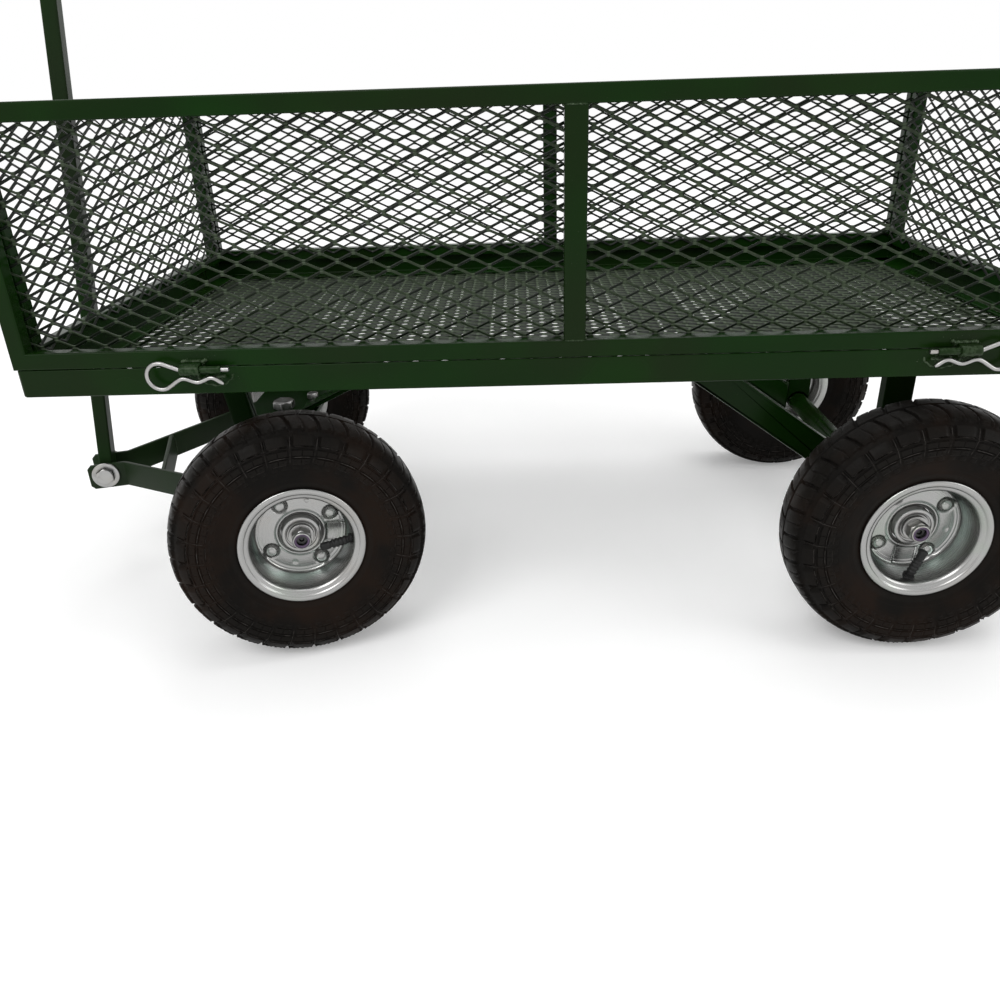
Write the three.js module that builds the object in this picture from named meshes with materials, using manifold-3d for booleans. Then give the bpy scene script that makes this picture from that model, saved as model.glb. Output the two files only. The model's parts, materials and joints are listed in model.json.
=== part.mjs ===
// A four-wheeled garden cart: a steel tray with mesh sides on a welded base frame, a fixed rear
// axle, and a front axle that swivels under a king bolt and is pulled by a drawbar and handle.
// Millimetres, +Z up. The front of the cart is at -X, and its left side is at -Y. The finished
// group stands on z = 0 with the origin under the middle of its bounding box.
import * as THREE from "three";
import { mergeVertices } from "three/addons/utils/BufferGeometryUtils.js";
import Module from "manifold-3d";

const wasm = await Module();
wasm.setup();

// ---------------------------------------------------------------- driving dimensions

const FIT = 0.3; // clearance between pieces that touch
const DEG = Math.PI / 180;

// Base frame, of steel angle with its flat leg at the bottom
const BASE_LENGTH = 1000;
const BASE_WIDTH = 560;
const BASE_HEIGHT = 300; // underside of the frame above the ground
const ANGLE_LEG = 25;
const ANGLE_WALL = 3;
const DECK_SHEET = 2;
const DECK_MARGIN = 4; // deck edge to the outside of the base frame
const CROSSBAR_WIDTH = 30;
const CROSSBAR_DEPTH = 8;
const CROSSBAR_INSET = 28; // bar end to the outside of the base frame
const CROSSBAR_X = 96; // the two middle crossbars, either side of the centre

// Mesh-filled side and end panels, of square tube
const PANEL_HEIGHT = 216.5;
const PANEL_TUBE = 15;
const PANEL_MIDDLE_POST = 19;
const PANEL_OVERHANG = 2; // of the panels past each end of the base frame
const MESH_SHEET = 2.5;
const MESH_MARGIN = 4; // mesh edge to the outside of its panel frame
const CORNER_GAP = 0.7; // between an end panel and the mesh of a side panel

// Panel hinges: a sleeve on the panel and a tube on the base frame, joined by a clip's pin
const HINGE_OUT = 9; // pin axis outside the panel's outer face
const SIDE_HINGE_X = 330; // where sleeve and tube meet on the long sides
const END_HINGE_Y = 170; // and on the ends
const PIN_RADIUS = 1.9;
const PIN_BORE = 2.3;
const SLEEVE_RADIUS = 5;
const SLEEVE_LENGTH = 17.5;
const LUG_TUBE_RADIUS = 3.2;
const LUG_TUBE_LENGTH = 19;
const HINGE_WEB = 5;

// Hairpin clip: a straight pin, a round loop and a waved leg
const CLIP_LOOP_RADIUS = 11.8;
const CLIP_LOOP_OUT = 18.6; // loop centre to the sleeve's outer end
const CLIP_LOOP_DROP = 5.2; // loop centre below the pin
const CLIP_PIN_PAST = 7; // pin tip past the lug tube
const CLIP_WAVE = 4; // depth of the waved leg's dip
const CLIP_WIRE_STEPS = 26;

// Wheels
const WHEEL_RADIUS = 130;
const TYRE_HALF_WIDTH = 41;
const TREAD_HALF_WIDTH = 27;
const WHEEL_SIDES = 28;
const RIM_SIDES = 20;
const RIM_RADIUS = 64;
const RIM_HALF_WIDTH = 33;
const RIM_FLANGE = 2.5;
const RIM_BARREL_RADIUS = 53.5;
const RIM_WELL_RADIUS = 46;
const RIM_DISC_OUT = 2; // outer face of the disc, from the middle of the wheel
const RIM_DISC_WALL = 3;
const RIM_BOLT_CIRCLE = 34;
const RIM_BOLT_FLATS = 10;
const RIM_BOLT_HEIGHT = 4;
const RIM_BOLT_LAG = 8.5; // degrees on from the valve to the middle between two of the bolts
const HUB_RADIUS = 20;
const HUB_IN = 38;
const HUB_OUT = 5;
const VALVE_RADIUS = 4.5;
const VALVE_OUT = 14; // valve foot, from the middle of the wheel
const VALVE_TIP = [18.4, 7.8, 20]; // radial, sideways and outward place of its tip

// Axles
const WHEELBASE = 693;
const TRACK = 478;
const AXLE_TUBE_RADIUS = 12.5;
const AXLE_RADIUS = 8;
const AXLE_END_RADIUS = 6;
const AXLE_PLAY = 1; // between the axle tube's end and the hub
const AXLE_PAST_NUT = 1.5; // the thread's end past the nut's hexagon
const AXLE_NUT_FLATS = 19;
const AXLE_NUT_HEIGHT = 9;
const AXLE_NUT_COLLAR = [9.3, 4]; // radius and height of the locking collar
const AXLE_WASHER = [13, 2.5]; // radius and thickness

// Rear axle support
const STRUT_Y = 150;
const STRUT_WIDTH = 30;
const STRUT_DEPTH = 15;
const REAR_BRACE_FOOT = 7; // its lower end, above the axle
const REAR_BRACE_TOP = 21; // its upper end, behind the middle of the crossbar

// Front axle support and king bolt
const LEG_TOP_Y = 172;
const LEG_FOOT_Y = 132;
const LEG_WIDTH = 24;
const LEG_THICKNESS = 15;
const KING_PLATE_TOP = 188;
const KING_PLATE_THICKNESS = 6;
const KING_PLATE_WIDTH = 88;
const KING_PLATE_PAST_LEG = 12;
const KING_BOLT = { radius: 8, flats: 24, head: 10, nut: 13, below: 18 };
const PLATE_BOLT = { radius: 4, flats: 13, head: 7, along: 28.5, across: 36 };
const FRONT_BRACE_THICKNESS = 5;
const FRONT_BRACE_FOOT = 22.5; // its lower end, behind the king bolt

// Swivelling front axle and drawbar
const STEER = 16.1 * DEG; // the front axle stands turned by this much
const SWIVEL_LENGTH = 80;
const SWIVEL_WIDTH = 100;
const SWIVEL_WALL = 6;
const SWIVEL_CHEEK_LENGTH = 60;
const SWIVEL_BELOW_AXLE = 20;
const ARM_HEIGHT = 30;
const ARM_THICKNESS = 5;
const ARM_MIDDLE_Z = 134;
const ARM_GAP = 15.85; // half the gap between the arms at the handle
const ARM_BEND = 195; // from the king bolt forward to the bend
const ARM_END = 238.5;
const ARM_SPLAY = 0.888; // sideways run per length behind the bend
const ARM_CHAMFER = 4;
const SPREADER_AT = 148;
const SPREADER_THICKNESS = 5;

// Handle
const PIVOT_AT = 219.3; // from the king bolt forward to the handle bolt
const PIVOT_Z = 136;
const PIVOT_BOLT = { radius: 5, flats: 17, head: 6.4, washer: 15.5, washerThickness: 2.5 };
const STEM_DEPTH = 15;
const STEM_WIDTH = 30;
const STEM_WALL = 1.5;
const STEM_LENGTH = 690;
const STEM_BELOW_PIVOT = 12;
const REST_GAP = 0.5; // between the leaning handle and the front panel
const LOOP_TUBE_RADIUS = 9;
const LOOP_WIDTH = 130;
const LOOP_HEIGHT = 105;
const LOOP_CORNER = 28;
const GRIP_RADIUS = 14;
const GRIP_MARGIN = 3;

// ---------------------------------------------------------------- derived sizes

const HALF_LENGTH = BASE_LENGTH / 2;
const HALF_WIDTH = BASE_WIDTH / 2;
const BASE_TOP = BASE_HEIGHT + ANGLE_LEG;
const DECK_BOTTOM = BASE_HEIGHT - FIT - DECK_SHEET;
const CROSSBAR_TOP = DECK_BOTTOM - FIT;
const CROSSBAR_BOTTOM = CROSSBAR_TOP - CROSSBAR_DEPTH;
const CROSSBAR_HALF = HALF_WIDTH - CROSSBAR_INSET;
const MITRE_GAP = FIT / Math.SQRT2; // along a base rail, for the fitting gap across the mitre
const PANEL_BOTTOM = BASE_TOP + FIT;
const PANEL_TOP = PANEL_BOTTOM + PANEL_HEIGHT;
const PANEL_FACE_X = HALF_LENGTH + PANEL_OVERHANG;
const SIDE_PANEL_HALF = PANEL_FACE_X;
const END_PANEL_HALF = HALF_WIDTH - PANEL_TUBE - FIT - MESH_SHEET - CORNER_GAP;
const FRONT_AXLE_X = -WHEELBASE / 2;
const REAR_AXLE_X = WHEELBASE / 2;
const AXLE_Z = WHEEL_RADIUS;
const HALF_TRACK = TRACK / 2;
const AXLE_TUBE_HALF = HALF_TRACK - HUB_IN - AXLE_PLAY;
const KING_PLATE_BOTTOM = KING_PLATE_TOP - KING_PLATE_THICKNESS;
const SWIVEL_TOP = KING_PLATE_BOTTOM - FIT;

// ---------------------------------------------------------------- materials

function metal(color, roughness, metalness) {
  return new THREE.MeshStandardMaterial({ color, roughness, metalness });
}
const GREEN_PAINT = metal(0x223a1c, 0.35, 0.2);
const ZINC = metal(0xb4b5b2, 0.35, 0.9);
const RIM_ZINC = metal(0xc2c3c0, 0.28, 0.9);
const TYRE_RUBBER = metal(0x24211f, 0.85, 0);
const VALVE_RUBBER = metal(0x161514, 0.7, 0);
const GRIP_PLASTIC = metal(0x151515, 0.6, 0);

// ---------------------------------------------------------------- solids

// A three.js geometry as a manifold-3d solid.
function solid(geometry) {
  const bare = geometry.clone();
  bare.deleteAttribute("normal");
  bare.deleteAttribute("uv");
  const merged = mergeVertices(bare, 1e-4);
  return new wasm.Manifold(
    new wasm.Mesh({
      numProp: 3,
      vertProperties: merged.attributes.position.array,
      triVerts: new Uint32Array(merged.index.array),
    }),
  );
}

// A manifold-3d solid as a three.js geometry.
function geometryOf(made) {
  const mesh = made.getMesh();
  const geometry = new THREE.BufferGeometry();
  geometry.setAttribute("position", new THREE.BufferAttribute(mesh.vertProperties, 3));
  geometry.setIndex(new THREE.BufferAttribute(mesh.triVerts, 1));
  geometry.computeVertexNormals();
  return geometry;
}

function join(...pieces) {
  return pieces.reduce((all, piece) => all.add(piece));
}

function cut(from, ...tools) {
  return tools.reduce((left, tool) => left.subtract(tool), from);
}

// A box between two corners.
function box(x0, x1, y0, y1, z0, z1) {
  const geometry = new THREE.BoxGeometry(x1 - x0, y1 - y0, z1 - z0);
  return solid(geometry.translate((x0 + x1) / 2, (y0 + y1) / 2, (z0 + z1) / 2));
}

// A round bar along X, Y or Z, from one end to the other, through the given point across it.
function bar(axis, radius, from, to, [u, v] = [0, 0], sides = 16) {
  const geometry = new THREE.CylinderGeometry(radius, radius, to - from, sides);
  geometry.translate(0, (from + to) / 2, 0);
  if (axis === "x") geometry.rotateZ(-Math.PI / 2).translate(0, u, v);
  if (axis === "y") geometry.translate(u, 0, v);
  if (axis === "z") geometry.rotateX(Math.PI / 2).translate(u, v, 0);
  return solid(geometry);
}

// A hexagon prism along Y or Z, like a bolt head.
function hexagon(axis, flats, from, to, place) {
  return bar(axis, flats / Math.sqrt(3), from, to, place, 6);
}

// A flat outline of [u, v] points, extruded. Seen from above it lies in XY and rises along Z;
// seen from the side it lies in XZ and runs along Y; seen from the end it lies in YZ and runs along X.
function plate(view, outline, from, to) {
  const shape = new THREE.Shape(outline.map(([u, v]) => new THREE.Vector2(u, v)));
  const geometry = new THREE.ExtrudeGeometry(shape, { depth: to - from, bevelEnabled: false });
  geometry.translate(0, 0, from);
  if (view === "side") geometry.rotateX(Math.PI / 2).scale(1, -1, 1);
  if (view === "end") geometry.rotateX(Math.PI / 2).rotateZ(Math.PI / 2);
  const made = solid(geometry);
  return made.volume() < 0 ? turnedOut(geometry) : made;
}

// The same solid with its faces the other way round, for outlines that were mirrored.
function turnedOut(geometry) {
  const flat = geometry.index ? geometry.toNonIndexed() : geometry;
  const p = flat.attributes.position.array;
  for (let i = 0; i < p.length; i += 9) {
    for (let k = 0; k < 3; k++) [p[i + k], p[i + 3 + k]] = [p[i + 3 + k], p[i + k]];
  }
  return solid(flat);
}

// A ring turned about Y from a closed profile of [radius, along] points.
function ring(profile, sides) {
  const points = [...profile, profile[0]].map(([r, y]) => new THREE.Vector2(r, y));
  const geometry = new THREE.LatheGeometry(points, sides, Math.PI / sides);
  const made = solid(geometry);
  return made.volume() < 0 ? turnedOut(geometry) : made;
}

// A wire or tube of the given radius along a curve.
function tubeAlong(curve, radius, steps, sides) {
  const outline = Array.from({ length: sides }, (_, i) => {
    const a = (2 * Math.PI * i) / sides;
    return new THREE.Vector2(radius * Math.cos(a), radius * Math.sin(a));
  });
  const geometry = new THREE.ExtrudeGeometry(new THREE.Shape(outline), {
    steps,
    bevelEnabled: false,
    extrudePath: curve,
  });
  const made = solid(geometry);
  return made.volume() < 0 ? turnedOut(geometry) : made;
}

const cart = new THREE.Group();

function addMesh(parent, name, made, material) {
  const mesh = new THREE.Mesh(geometryOf(made), material);
  mesh.name = name;
  parent.add(mesh);
  return mesh;
}

function addGroup(parent, x = 0, y = 0, z = 0) {
  const group = new THREE.Group();
  group.position.set(x, y, z);
  parent.add(group);
  return group;
}

// The four sides of the tray: each is drawn as seen from outside with the panel's outer face at
// y = -face, then turned about Z.
const SIDES = [
  { name: "left", turn: 0, face: HALF_WIDTH, base: HALF_WIDTH, half: SIDE_PANEL_HALF },
  { name: "right", turn: 180, face: HALF_WIDTH, base: HALF_WIDTH, half: SIDE_PANEL_HALF },
  { name: "front", turn: -90, face: PANEL_FACE_X, base: HALF_LENGTH, half: END_PANEL_HALF },
  { name: "rear", turn: 90, face: PANEL_FACE_X, base: HALF_LENGTH, half: END_PANEL_HALF },
];
for (const side of SIDES) {
  side.long = side.name === "left" || side.name === "right";
  side.hingeAt = side.long ? SIDE_HINGE_X : END_HINGE_Y;
}

// A span that starts at `from` and runs `length` towards +x for sign 1 and -x for sign -1.
function span(sign, from, length) {
  const ends = [sign * from, sign * (from + length)];
  return sign > 0 ? ends : ends.reverse();
}

// ---------------------------------------------------------------- base frame and deck

// One lug of the base frame: a short tube for the clip's pin on a web out of the frame's face.
function baseLug(side, sign) {
  const axisY = -(side.face + HINGE_OUT);
  const [x0, x1] = span(sign, side.hingeAt - LUG_TUBE_LENGTH, LUG_TUBE_LENGTH - FIT);
  const tube = bar("x", LUG_TUBE_RADIUS, x0, x1, [axisY, BASE_TOP], 10);
  const web = box(x0, x1, axisY, 1 - side.base, BASE_TOP - LUG_TUBE_RADIUS, BASE_TOP - FIT);
  const bore = bar("x", PIN_BORE, x0 - 1, x1 + 1, [axisY, BASE_TOP], 8);
  return cut(join(tube, web), bore);
}

// One side of the base frame: a length of steel angle, mitred to its neighbours at both ends, with
// its two lugs.
function baseRail(side) {
  const half = (side.long ? HALF_LENGTH : HALF_WIDTH) - MITRE_GAP;
  const y0 = -side.base;
  const upright = box(-half, half, y0, y0 + ANGLE_WALL, BASE_HEIGHT, BASE_TOP);
  const flat = box(-half, half, y0, y0 + ANGLE_LEG, BASE_HEIGHT, BASE_HEIGHT + ANGLE_WALL);
  const mitred = plate(
    "top",
    [
      [-half, y0],
      [half, y0],
      [half - ANGLE_LEG, y0 + ANGLE_LEG],
      [ANGLE_LEG - half, y0 + ANGLE_LEG],
    ],
    BASE_HEIGHT - 1,
    BASE_TOP + 1,
  );
  const angle = join(upright, flat).intersect(mitred);
  return join(angle, baseLug(side, -1), baseLug(side, 1));
}

function makeBase() {
  for (const side of SIDES) {
    const group = addGroup(cart);
    group.rotation.z = side.turn * DEG;
    addMesh(group, "base_rail_" + side.name, baseRail(side), GREEN_PAINT);
  }

  const deckX = HALF_LENGTH - DECK_MARGIN;
  const deckY = HALF_WIDTH - DECK_MARGIN;
  const deck = box(-deckX, deckX, -deckY, deckY, DECK_BOTTOM, DECK_BOTTOM + DECK_SHEET);
  addMesh(cart, "deck_mesh", deck, GREEN_PAINT);
  addMesh(cart, "crossbar_front", crossbar(-CROSSBAR_X), GREEN_PAINT);
  addMesh(cart, "crossbar_rear", crossbar(CROSSBAR_X), GREEN_PAINT);
}

// A bar across the cart under the deck.
function crossbar(x) {
  const half = CROSSBAR_WIDTH / 2;
  return box(x - half, x + half, -CROSSBAR_HALF, CROSSBAR_HALF, CROSSBAR_BOTTOM, CROSSBAR_TOP);
}

// ---------------------------------------------------------------- panels and clips

// One hinge sleeve of a panel, on a web out of its bottom rail.
function panelSleeve(side, sign) {
  const axisY = -(side.face + HINGE_OUT);
  const [x0, x1] = span(sign, side.hingeAt, SLEEVE_LENGTH);
  const sleeve = bar("x", SLEEVE_RADIUS, x0, x1, [axisY, BASE_TOP], 12);
  const web = box(x0, x1, axisY, 1 - side.face, PANEL_BOTTOM, PANEL_BOTTOM + HINGE_WEB);
  const bore = bar("x", PIN_BORE, x0 - 1, x1 + 1, [axisY, BASE_TOP], 8);
  return cut(join(sleeve, web), bore);
}

function makePanel(side) {
  const group = addGroup(cart);
  group.rotation.z = side.turn * DEG;
  const y0 = -side.face;
  const y1 = y0 + PANEL_TUBE;
  const edge = side.half - PANEL_TUBE;
  const post = side.long ? PANEL_MIDDLE_POST / 2 : 0;
  let frame = box(-side.half, side.half, y0, y1, PANEL_BOTTOM, PANEL_TOP);
  const sill = PANEL_BOTTOM + PANEL_TUBE;
  const head = PANEL_TOP - PANEL_TUBE;
  if (post) {
    frame = cut(frame, box(-edge, -post, y0 - 1, y1 + 1, sill, head));
    frame = cut(frame, box(post, edge, y0 - 1, y1 + 1, sill, head));
  } else {
    frame = cut(frame, box(-edge, edge, y0 - 1, y1 + 1, sill, head));
  }
  frame = join(frame, panelSleeve(side, -1), panelSleeve(side, 1));
  addMesh(group, "panel_" + side.name + "_frame", frame, GREEN_PAINT);

  const meshHalf = side.half - MESH_MARGIN;
  const meshY = y1 + FIT;
  const mesh = box(
    -meshHalf,
    meshHalf,
    meshY,
    meshY + MESH_SHEET,
    PANEL_BOTTOM + MESH_MARGIN,
    PANEL_TOP - MESH_MARGIN,
  );
  addMesh(group, "panel_" + side.name + "_mesh", mesh, GREEN_PAINT);
}

// A hairpin clip in its own frame: the pin's axis is X, it enters the sleeve at x = 0 going
// towards +x, and the loop and the waved leg hang below.
function hairpin() {
  const loop = (degrees) =>
    new THREE.Vector3(
      CLIP_LOOP_RADIUS * Math.cos(degrees * DEG) - CLIP_LOOP_OUT,
      0,
      CLIP_LOOP_RADIUS * Math.sin(degrees * DEG) - CLIP_LOOP_DROP,
    );
  const reach = SLEEVE_LENGTH + LUG_TUBE_LENGTH;
  const under = -SLEEVE_RADIUS - FIT - PIN_RADIUS; // the leg's highest run, just below the sleeve
  const pin = [reach + CLIP_PIN_PAST, reach * 0.7, reach * 0.35, 3, -1].map(
    (x) => new THREE.Vector3(x, 0, 0),
  );
  const turns = [45, 90, 135, 180, 225, 270, 310].map(loop);
  const leg = [
    new THREE.Vector3(1, 0, under - 0.5),
    new THREE.Vector3(SLEEVE_LENGTH * 0.8, 0, under - CLIP_WAVE),
    new THREE.Vector3(SLEEVE_LENGTH + LUG_TUBE_LENGTH * 0.5, 0, under - 0.2),
    new THREE.Vector3(reach, 0, under - 1.5 * CLIP_WAVE),
  ];
  const curve = new THREE.CatmullRomCurve3([...pin, ...turns, ...leg], false, "centripetal");
  return tubeAlong(curve, PIN_RADIUS, CLIP_WIRE_STEPS, 6);
}

function makeClips(side) {
  const group = addGroup(cart);
  group.rotation.z = side.turn * DEG;
  for (const sign of [-1, 1]) {
    const x = sign * (side.hingeAt + SLEEVE_LENGTH);
    const place = addGroup(group, x, -(side.face + HINGE_OUT), BASE_TOP);
    if (sign > 0) place.rotation.z = Math.PI;
    addMesh(place, "clip_" + side.name + (sign < 0 ? "_a" : "_b"), hairpin(), ZINC);
  }
}

// ---------------------------------------------------------------- wheels and axles

function tyre() {
  const corner = 1 / Math.cos(Math.PI / WHEEL_SIDES); // from a flat of the wheel out to its corner
  const outer = WHEEL_RADIUS * corner;
  const lip = RIM_RADIUS * corner + FIT;
  const seat = RIM_BARREL_RADIUS * corner + FIT;
  const bead = RIM_HALF_WIDTH - RIM_FLANGE - FIT;
  const half = [
    [outer, TREAD_HALF_WIDTH],
    [outer - 7, TYRE_HALF_WIDTH - 4],
    [outer - 26, TYRE_HALF_WIDTH],
    [lip + 8, TYRE_HALF_WIDTH - 4],
    [lip, bead],
    [seat, bead],
    [seat, bead - 10],
    [outer - 32, TYRE_HALF_WIDTH - 8],
    [outer - 11, TREAD_HALF_WIDTH - 2],
  ];
  const mirrored = half.map(([r, y]) => [r, -y]).reverse();
  return ring([...half, ...mirrored], WHEEL_SIDES);
}

// The rim's well runs from the disc's edge out to the flange, which the tyre's bead sits behind. Its
// four bolts stand at set angles from the valve's.
function rim(valveDegrees) {
  const flange = RIM_HALF_WIDTH - RIM_FLANGE;
  const barrel = RIM_BARREL_RADIUS;
  const discIn = RIM_DISC_OUT - RIM_DISC_WALL;
  const bore = HUB_RADIUS + FIT;
  const profile = [
    [RIM_RADIUS, RIM_HALF_WIDTH],
    [barrel - RIM_FLANGE + 2, RIM_HALF_WIDTH],
    [barrel - RIM_FLANGE, RIM_HALF_WIDTH - 6],
    [RIM_WELL_RADIUS, RIM_DISC_OUT],
    [bore, RIM_DISC_OUT],
    [bore, discIn],
    [barrel - RIM_FLANGE, discIn],
    [barrel - RIM_FLANGE, -RIM_HALF_WIDTH],
    [RIM_RADIUS, -RIM_HALF_WIDTH],
    [RIM_RADIUS, -flange],
    [barrel, -flange],
    [barrel, flange],
    [RIM_RADIUS, flange],
  ];
  const heads = [45, 135, 225, 315].map((degrees) => {
    const angle = (valveDegrees + RIM_BOLT_LAG + degrees) * DEG;
    const x = RIM_BOLT_CIRCLE * Math.cos(angle);
    const z = RIM_BOLT_CIRCLE * Math.sin(angle);
    return hexagon("y", RIM_BOLT_FLATS, RIM_DISC_OUT - 1, RIM_DISC_OUT + RIM_BOLT_HEIGHT, [x, z]);
  });
  return join(ring(profile, RIM_SIDES), ...heads);
}

function hub() {
  const bore = AXLE_RADIUS + FIT;
  return ring(
    [
      [HUB_RADIUS, -HUB_IN],
      [HUB_RADIUS, HUB_OUT],
      [bore, HUB_OUT],
      [bore, -HUB_IN],
    ],
    RIM_SIDES,
  );
}

// The rubber valve lies in the well from its foot, at the angle given, towards the hub, and bends to
// one side or the other.
function valve(degrees, bend) {
  const start = new THREE.Vector3(RIM_BARREL_RADIUS, VALVE_OUT, 0);
  const end = new THREE.Vector3(VALVE_TIP[0], VALVE_TIP[2], bend * VALVE_TIP[1]);
  const stem = tubeAlong(new THREE.LineCurve3(start, end), VALVE_RADIUS, 1, 10);
  return stem.rotate([0, -degrees, 0]).intersect(wellSpace());
}

// The room inside the rim's well, less the fitting gap.
function wellSpace() {
  const floor = RIM_DISC_OUT + FIT;
  return ring(
    [
      [1, floor],
      [wellRadius(floor) - FIT, floor],
      [wellRadius(RIM_HALF_WIDTH) - FIT, RIM_HALF_WIDTH],
      [1, RIM_HALF_WIDTH],
    ],
    RIM_SIDES,
  );
}

// Radius of the rim's well at a place along the wheel's axis.
function wellRadius(out) {
  const top = RIM_HALF_WIDTH - 6;
  const share = (out - RIM_DISC_OUT) / (top - RIM_DISC_OUT);
  return RIM_WELL_RADIUS + share * (RIM_BARREL_RADIUS - RIM_FLANGE - RIM_WELL_RADIUS);
}

function axleNut() {
  const [washer, washerThickness] = AXLE_WASHER;
  const [collar, collarHeight] = AXLE_NUT_COLLAR;
  const y0 = HUB_OUT + FIT;
  const y1 = y0 + washerThickness;
  const y2 = y1 + AXLE_NUT_HEIGHT;
  const y3 = y2 + collarHeight;
  const body = join(
    bar("y", washer, y0, y1),
    hexagon("y", AXLE_NUT_FLATS, y1 - 0.5, y2),
    bar("y", collar, y2 - 0.5, y3),
  );
  return cut(body, bar("y", AXLE_END_RADIUS + FIT, y0 - 1, y3 + 1));
}

// A wheel in its own frame, with the axle along Y and its outer face at +y.
function makeWheel(parent, name, outward, valveDegrees, valveBend) {
  const group = addGroup(parent, 0, outward * HALF_TRACK, AXLE_Z);
  if (outward < 0) group.rotation.z = Math.PI;
  addMesh(group, "tyre_" + name, tyre(), TYRE_RUBBER);
  addMesh(group, "rim_" + name, rim(valveDegrees), RIM_ZINC);
  addMesh(group, "hub_" + name, hub(), ZINC);
  addMesh(group, "valve_" + name, valve(valveDegrees, valveBend), VALVE_RUBBER);
  addMesh(group, "axle_nut_" + name, axleNut(), ZINC);
}

// An axle: a steel tube with a stub shaft welded into each end, which steps down to the nut's thread.
function makeAxle(parent, name) {
  const shoulder = HALF_TRACK + HUB_OUT;
  const end = shoulder + AXLE_WASHER[1] + AXLE_NUT_HEIGHT + AXLE_PAST_NUT;
  const axle = join(
    bar("y", AXLE_TUBE_RADIUS, -AXLE_TUBE_HALF, AXLE_TUBE_HALF, [0, AXLE_Z]),
    bar("y", AXLE_RADIUS, -shoulder, shoulder, [0, AXLE_Z]),
    bar("y", AXLE_END_RADIUS, -end, end, [0, AXLE_Z]),
  );
  addMesh(parent, name + "_axle", axle, GREEN_PAINT);
}

// ---------------------------------------------------------------- rear axle support

function makeRearSupport() {
  const group = addGroup(cart, REAR_AXLE_X);
  const half = STRUT_WIDTH / 2;
  const strut = (y) =>
    box(-half, half, y - STRUT_DEPTH / 2, y + STRUT_DEPTH / 2, AXLE_Z, CROSSBAR_BOTTOM + 1);
  const seat = bar("y", AXLE_TUBE_RADIUS + FIT, -HALF_WIDTH, HALF_WIDTH, [0, AXLE_Z]);
  const support = join(crossbar(0), strut(-STRUT_Y), strut(STRUT_Y));
  addMesh(group, "rear_axle_support", cut(support, seat), GREEN_PAINT);
  makeAxle(group, "rear");
  makeWheel(group, "rear_left", -1, 272, -1);
  makeWheel(group, "rear_right", 1, 130, 1);

  // The braces run from the struts' front faces up to the underside of the middle crossbar.
  const footX = -half - FIT;
  const footZ = AXLE_Z + REAR_BRACE_FOOT;
  const topX = CROSSBAR_X + REAR_BRACE_TOP - REAR_AXLE_X;
  const topZ = CROSSBAR_BOTTOM - FIT;
  const angle = Math.atan2(topZ - footZ, footX - topX);
  const tall = STRUT_WIDTH / 2 / Math.cos(angle);
  const wide = STRUT_WIDTH / 2 / Math.sin(angle);
  const outline = [
    [footX, footZ - tall],
    [footX, footZ + tall],
    [topX + wide, topZ],
    [topX - wide, topZ],
  ];
  for (const [name, y] of [["left", -STRUT_Y], ["right", STRUT_Y]]) {
    const brace = plate("side", outline, y - STRUT_DEPTH / 2, y + STRUT_DEPTH / 2);
    addMesh(group, "rear_brace_" + name, brace, GREEN_PAINT);
  }
}

// ---------------------------------------------------------------- front axle support

function makeFrontSupport() {
  const group = addGroup(cart, FRONT_AXLE_X);
  const half = LEG_WIDTH / 2;
  const t = LEG_THICKNESS / 2;
  const legTop = CROSSBAR_BOTTOM + 1;
  const legFoot = KING_PLATE_TOP - 1;
  const leg = (sign) =>
    plate(
      "end",
      [
        [sign * (LEG_TOP_Y - t), legTop],
        [sign * (LEG_TOP_Y + t), legTop],
        [sign * (LEG_FOOT_Y + t), legFoot],
        [sign * (LEG_FOOT_Y - t), legFoot],
      ],
      -half,
      half,
    );
  const kingHalf = LEG_FOOT_Y + KING_PLATE_PAST_LEG;
  const wide = KING_PLATE_WIDTH / 2;
  const king = box(-wide, wide, -kingHalf, kingHalf, KING_PLATE_BOTTOM, KING_PLATE_TOP);
  const { along, across } = PLATE_BOLT;
  const holes = [
    bar("z", KING_BOLT.radius + FIT, KING_PLATE_BOTTOM - 1, KING_PLATE_TOP + 1),
    bar("z", PLATE_BOLT.radius + FIT, KING_PLATE_BOTTOM - 1, KING_PLATE_TOP + 1, [along, -across]),
    bar("z", PLATE_BOLT.radius + FIT, KING_PLATE_BOTTOM - 1, KING_PLATE_TOP + 1, [along, across]),
  ];
  const support = cut(join(crossbar(0), leg(-1), leg(1), king), ...holes);
  addMesh(group, "front_axle_support", support, GREEN_PAINT);

  for (const [name, y] of [["left", -across], ["right", across]]) {
    const head = KING_PLATE_TOP + FIT;
    const bolt = join(
      hexagon("z", PLATE_BOLT.flats, head, head + PLATE_BOLT.head, [along, y]),
      bar("z", PLATE_BOLT.radius, KING_PLATE_BOTTOM, head + 1, [along, y]),
    );
    addMesh(group, "king_plate_bolt_" + name, bolt, ZINC);
  }

  makeFrontBrace(group);
  makeKingBolt(group);
}

// A flat brace from the top of the king plate back and up to the middle crossbar.
function makeFrontBrace(group) {
  const footX = FRONT_BRACE_FOOT;
  const footZ = KING_PLATE_TOP + FIT;
  const topX = -CROSSBAR_X - FRONT_AXLE_X;
  const topZ = CROSSBAR_BOTTOM - FIT;
  const wide = FRONT_BRACE_THICKNESS / Math.sin(Math.atan2(topZ - footZ, topX - footX));
  const outline = [
    [footX + wide, footZ],
    [footX, footZ],
    [topX - wide, topZ],
    [topX, topZ],
  ];
  const brace = plate("side", outline, -CROSSBAR_WIDTH / 2, CROSSBAR_WIDTH / 2);
  addMesh(group, "front_brace", brace, GREEN_PAINT);
}

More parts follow.
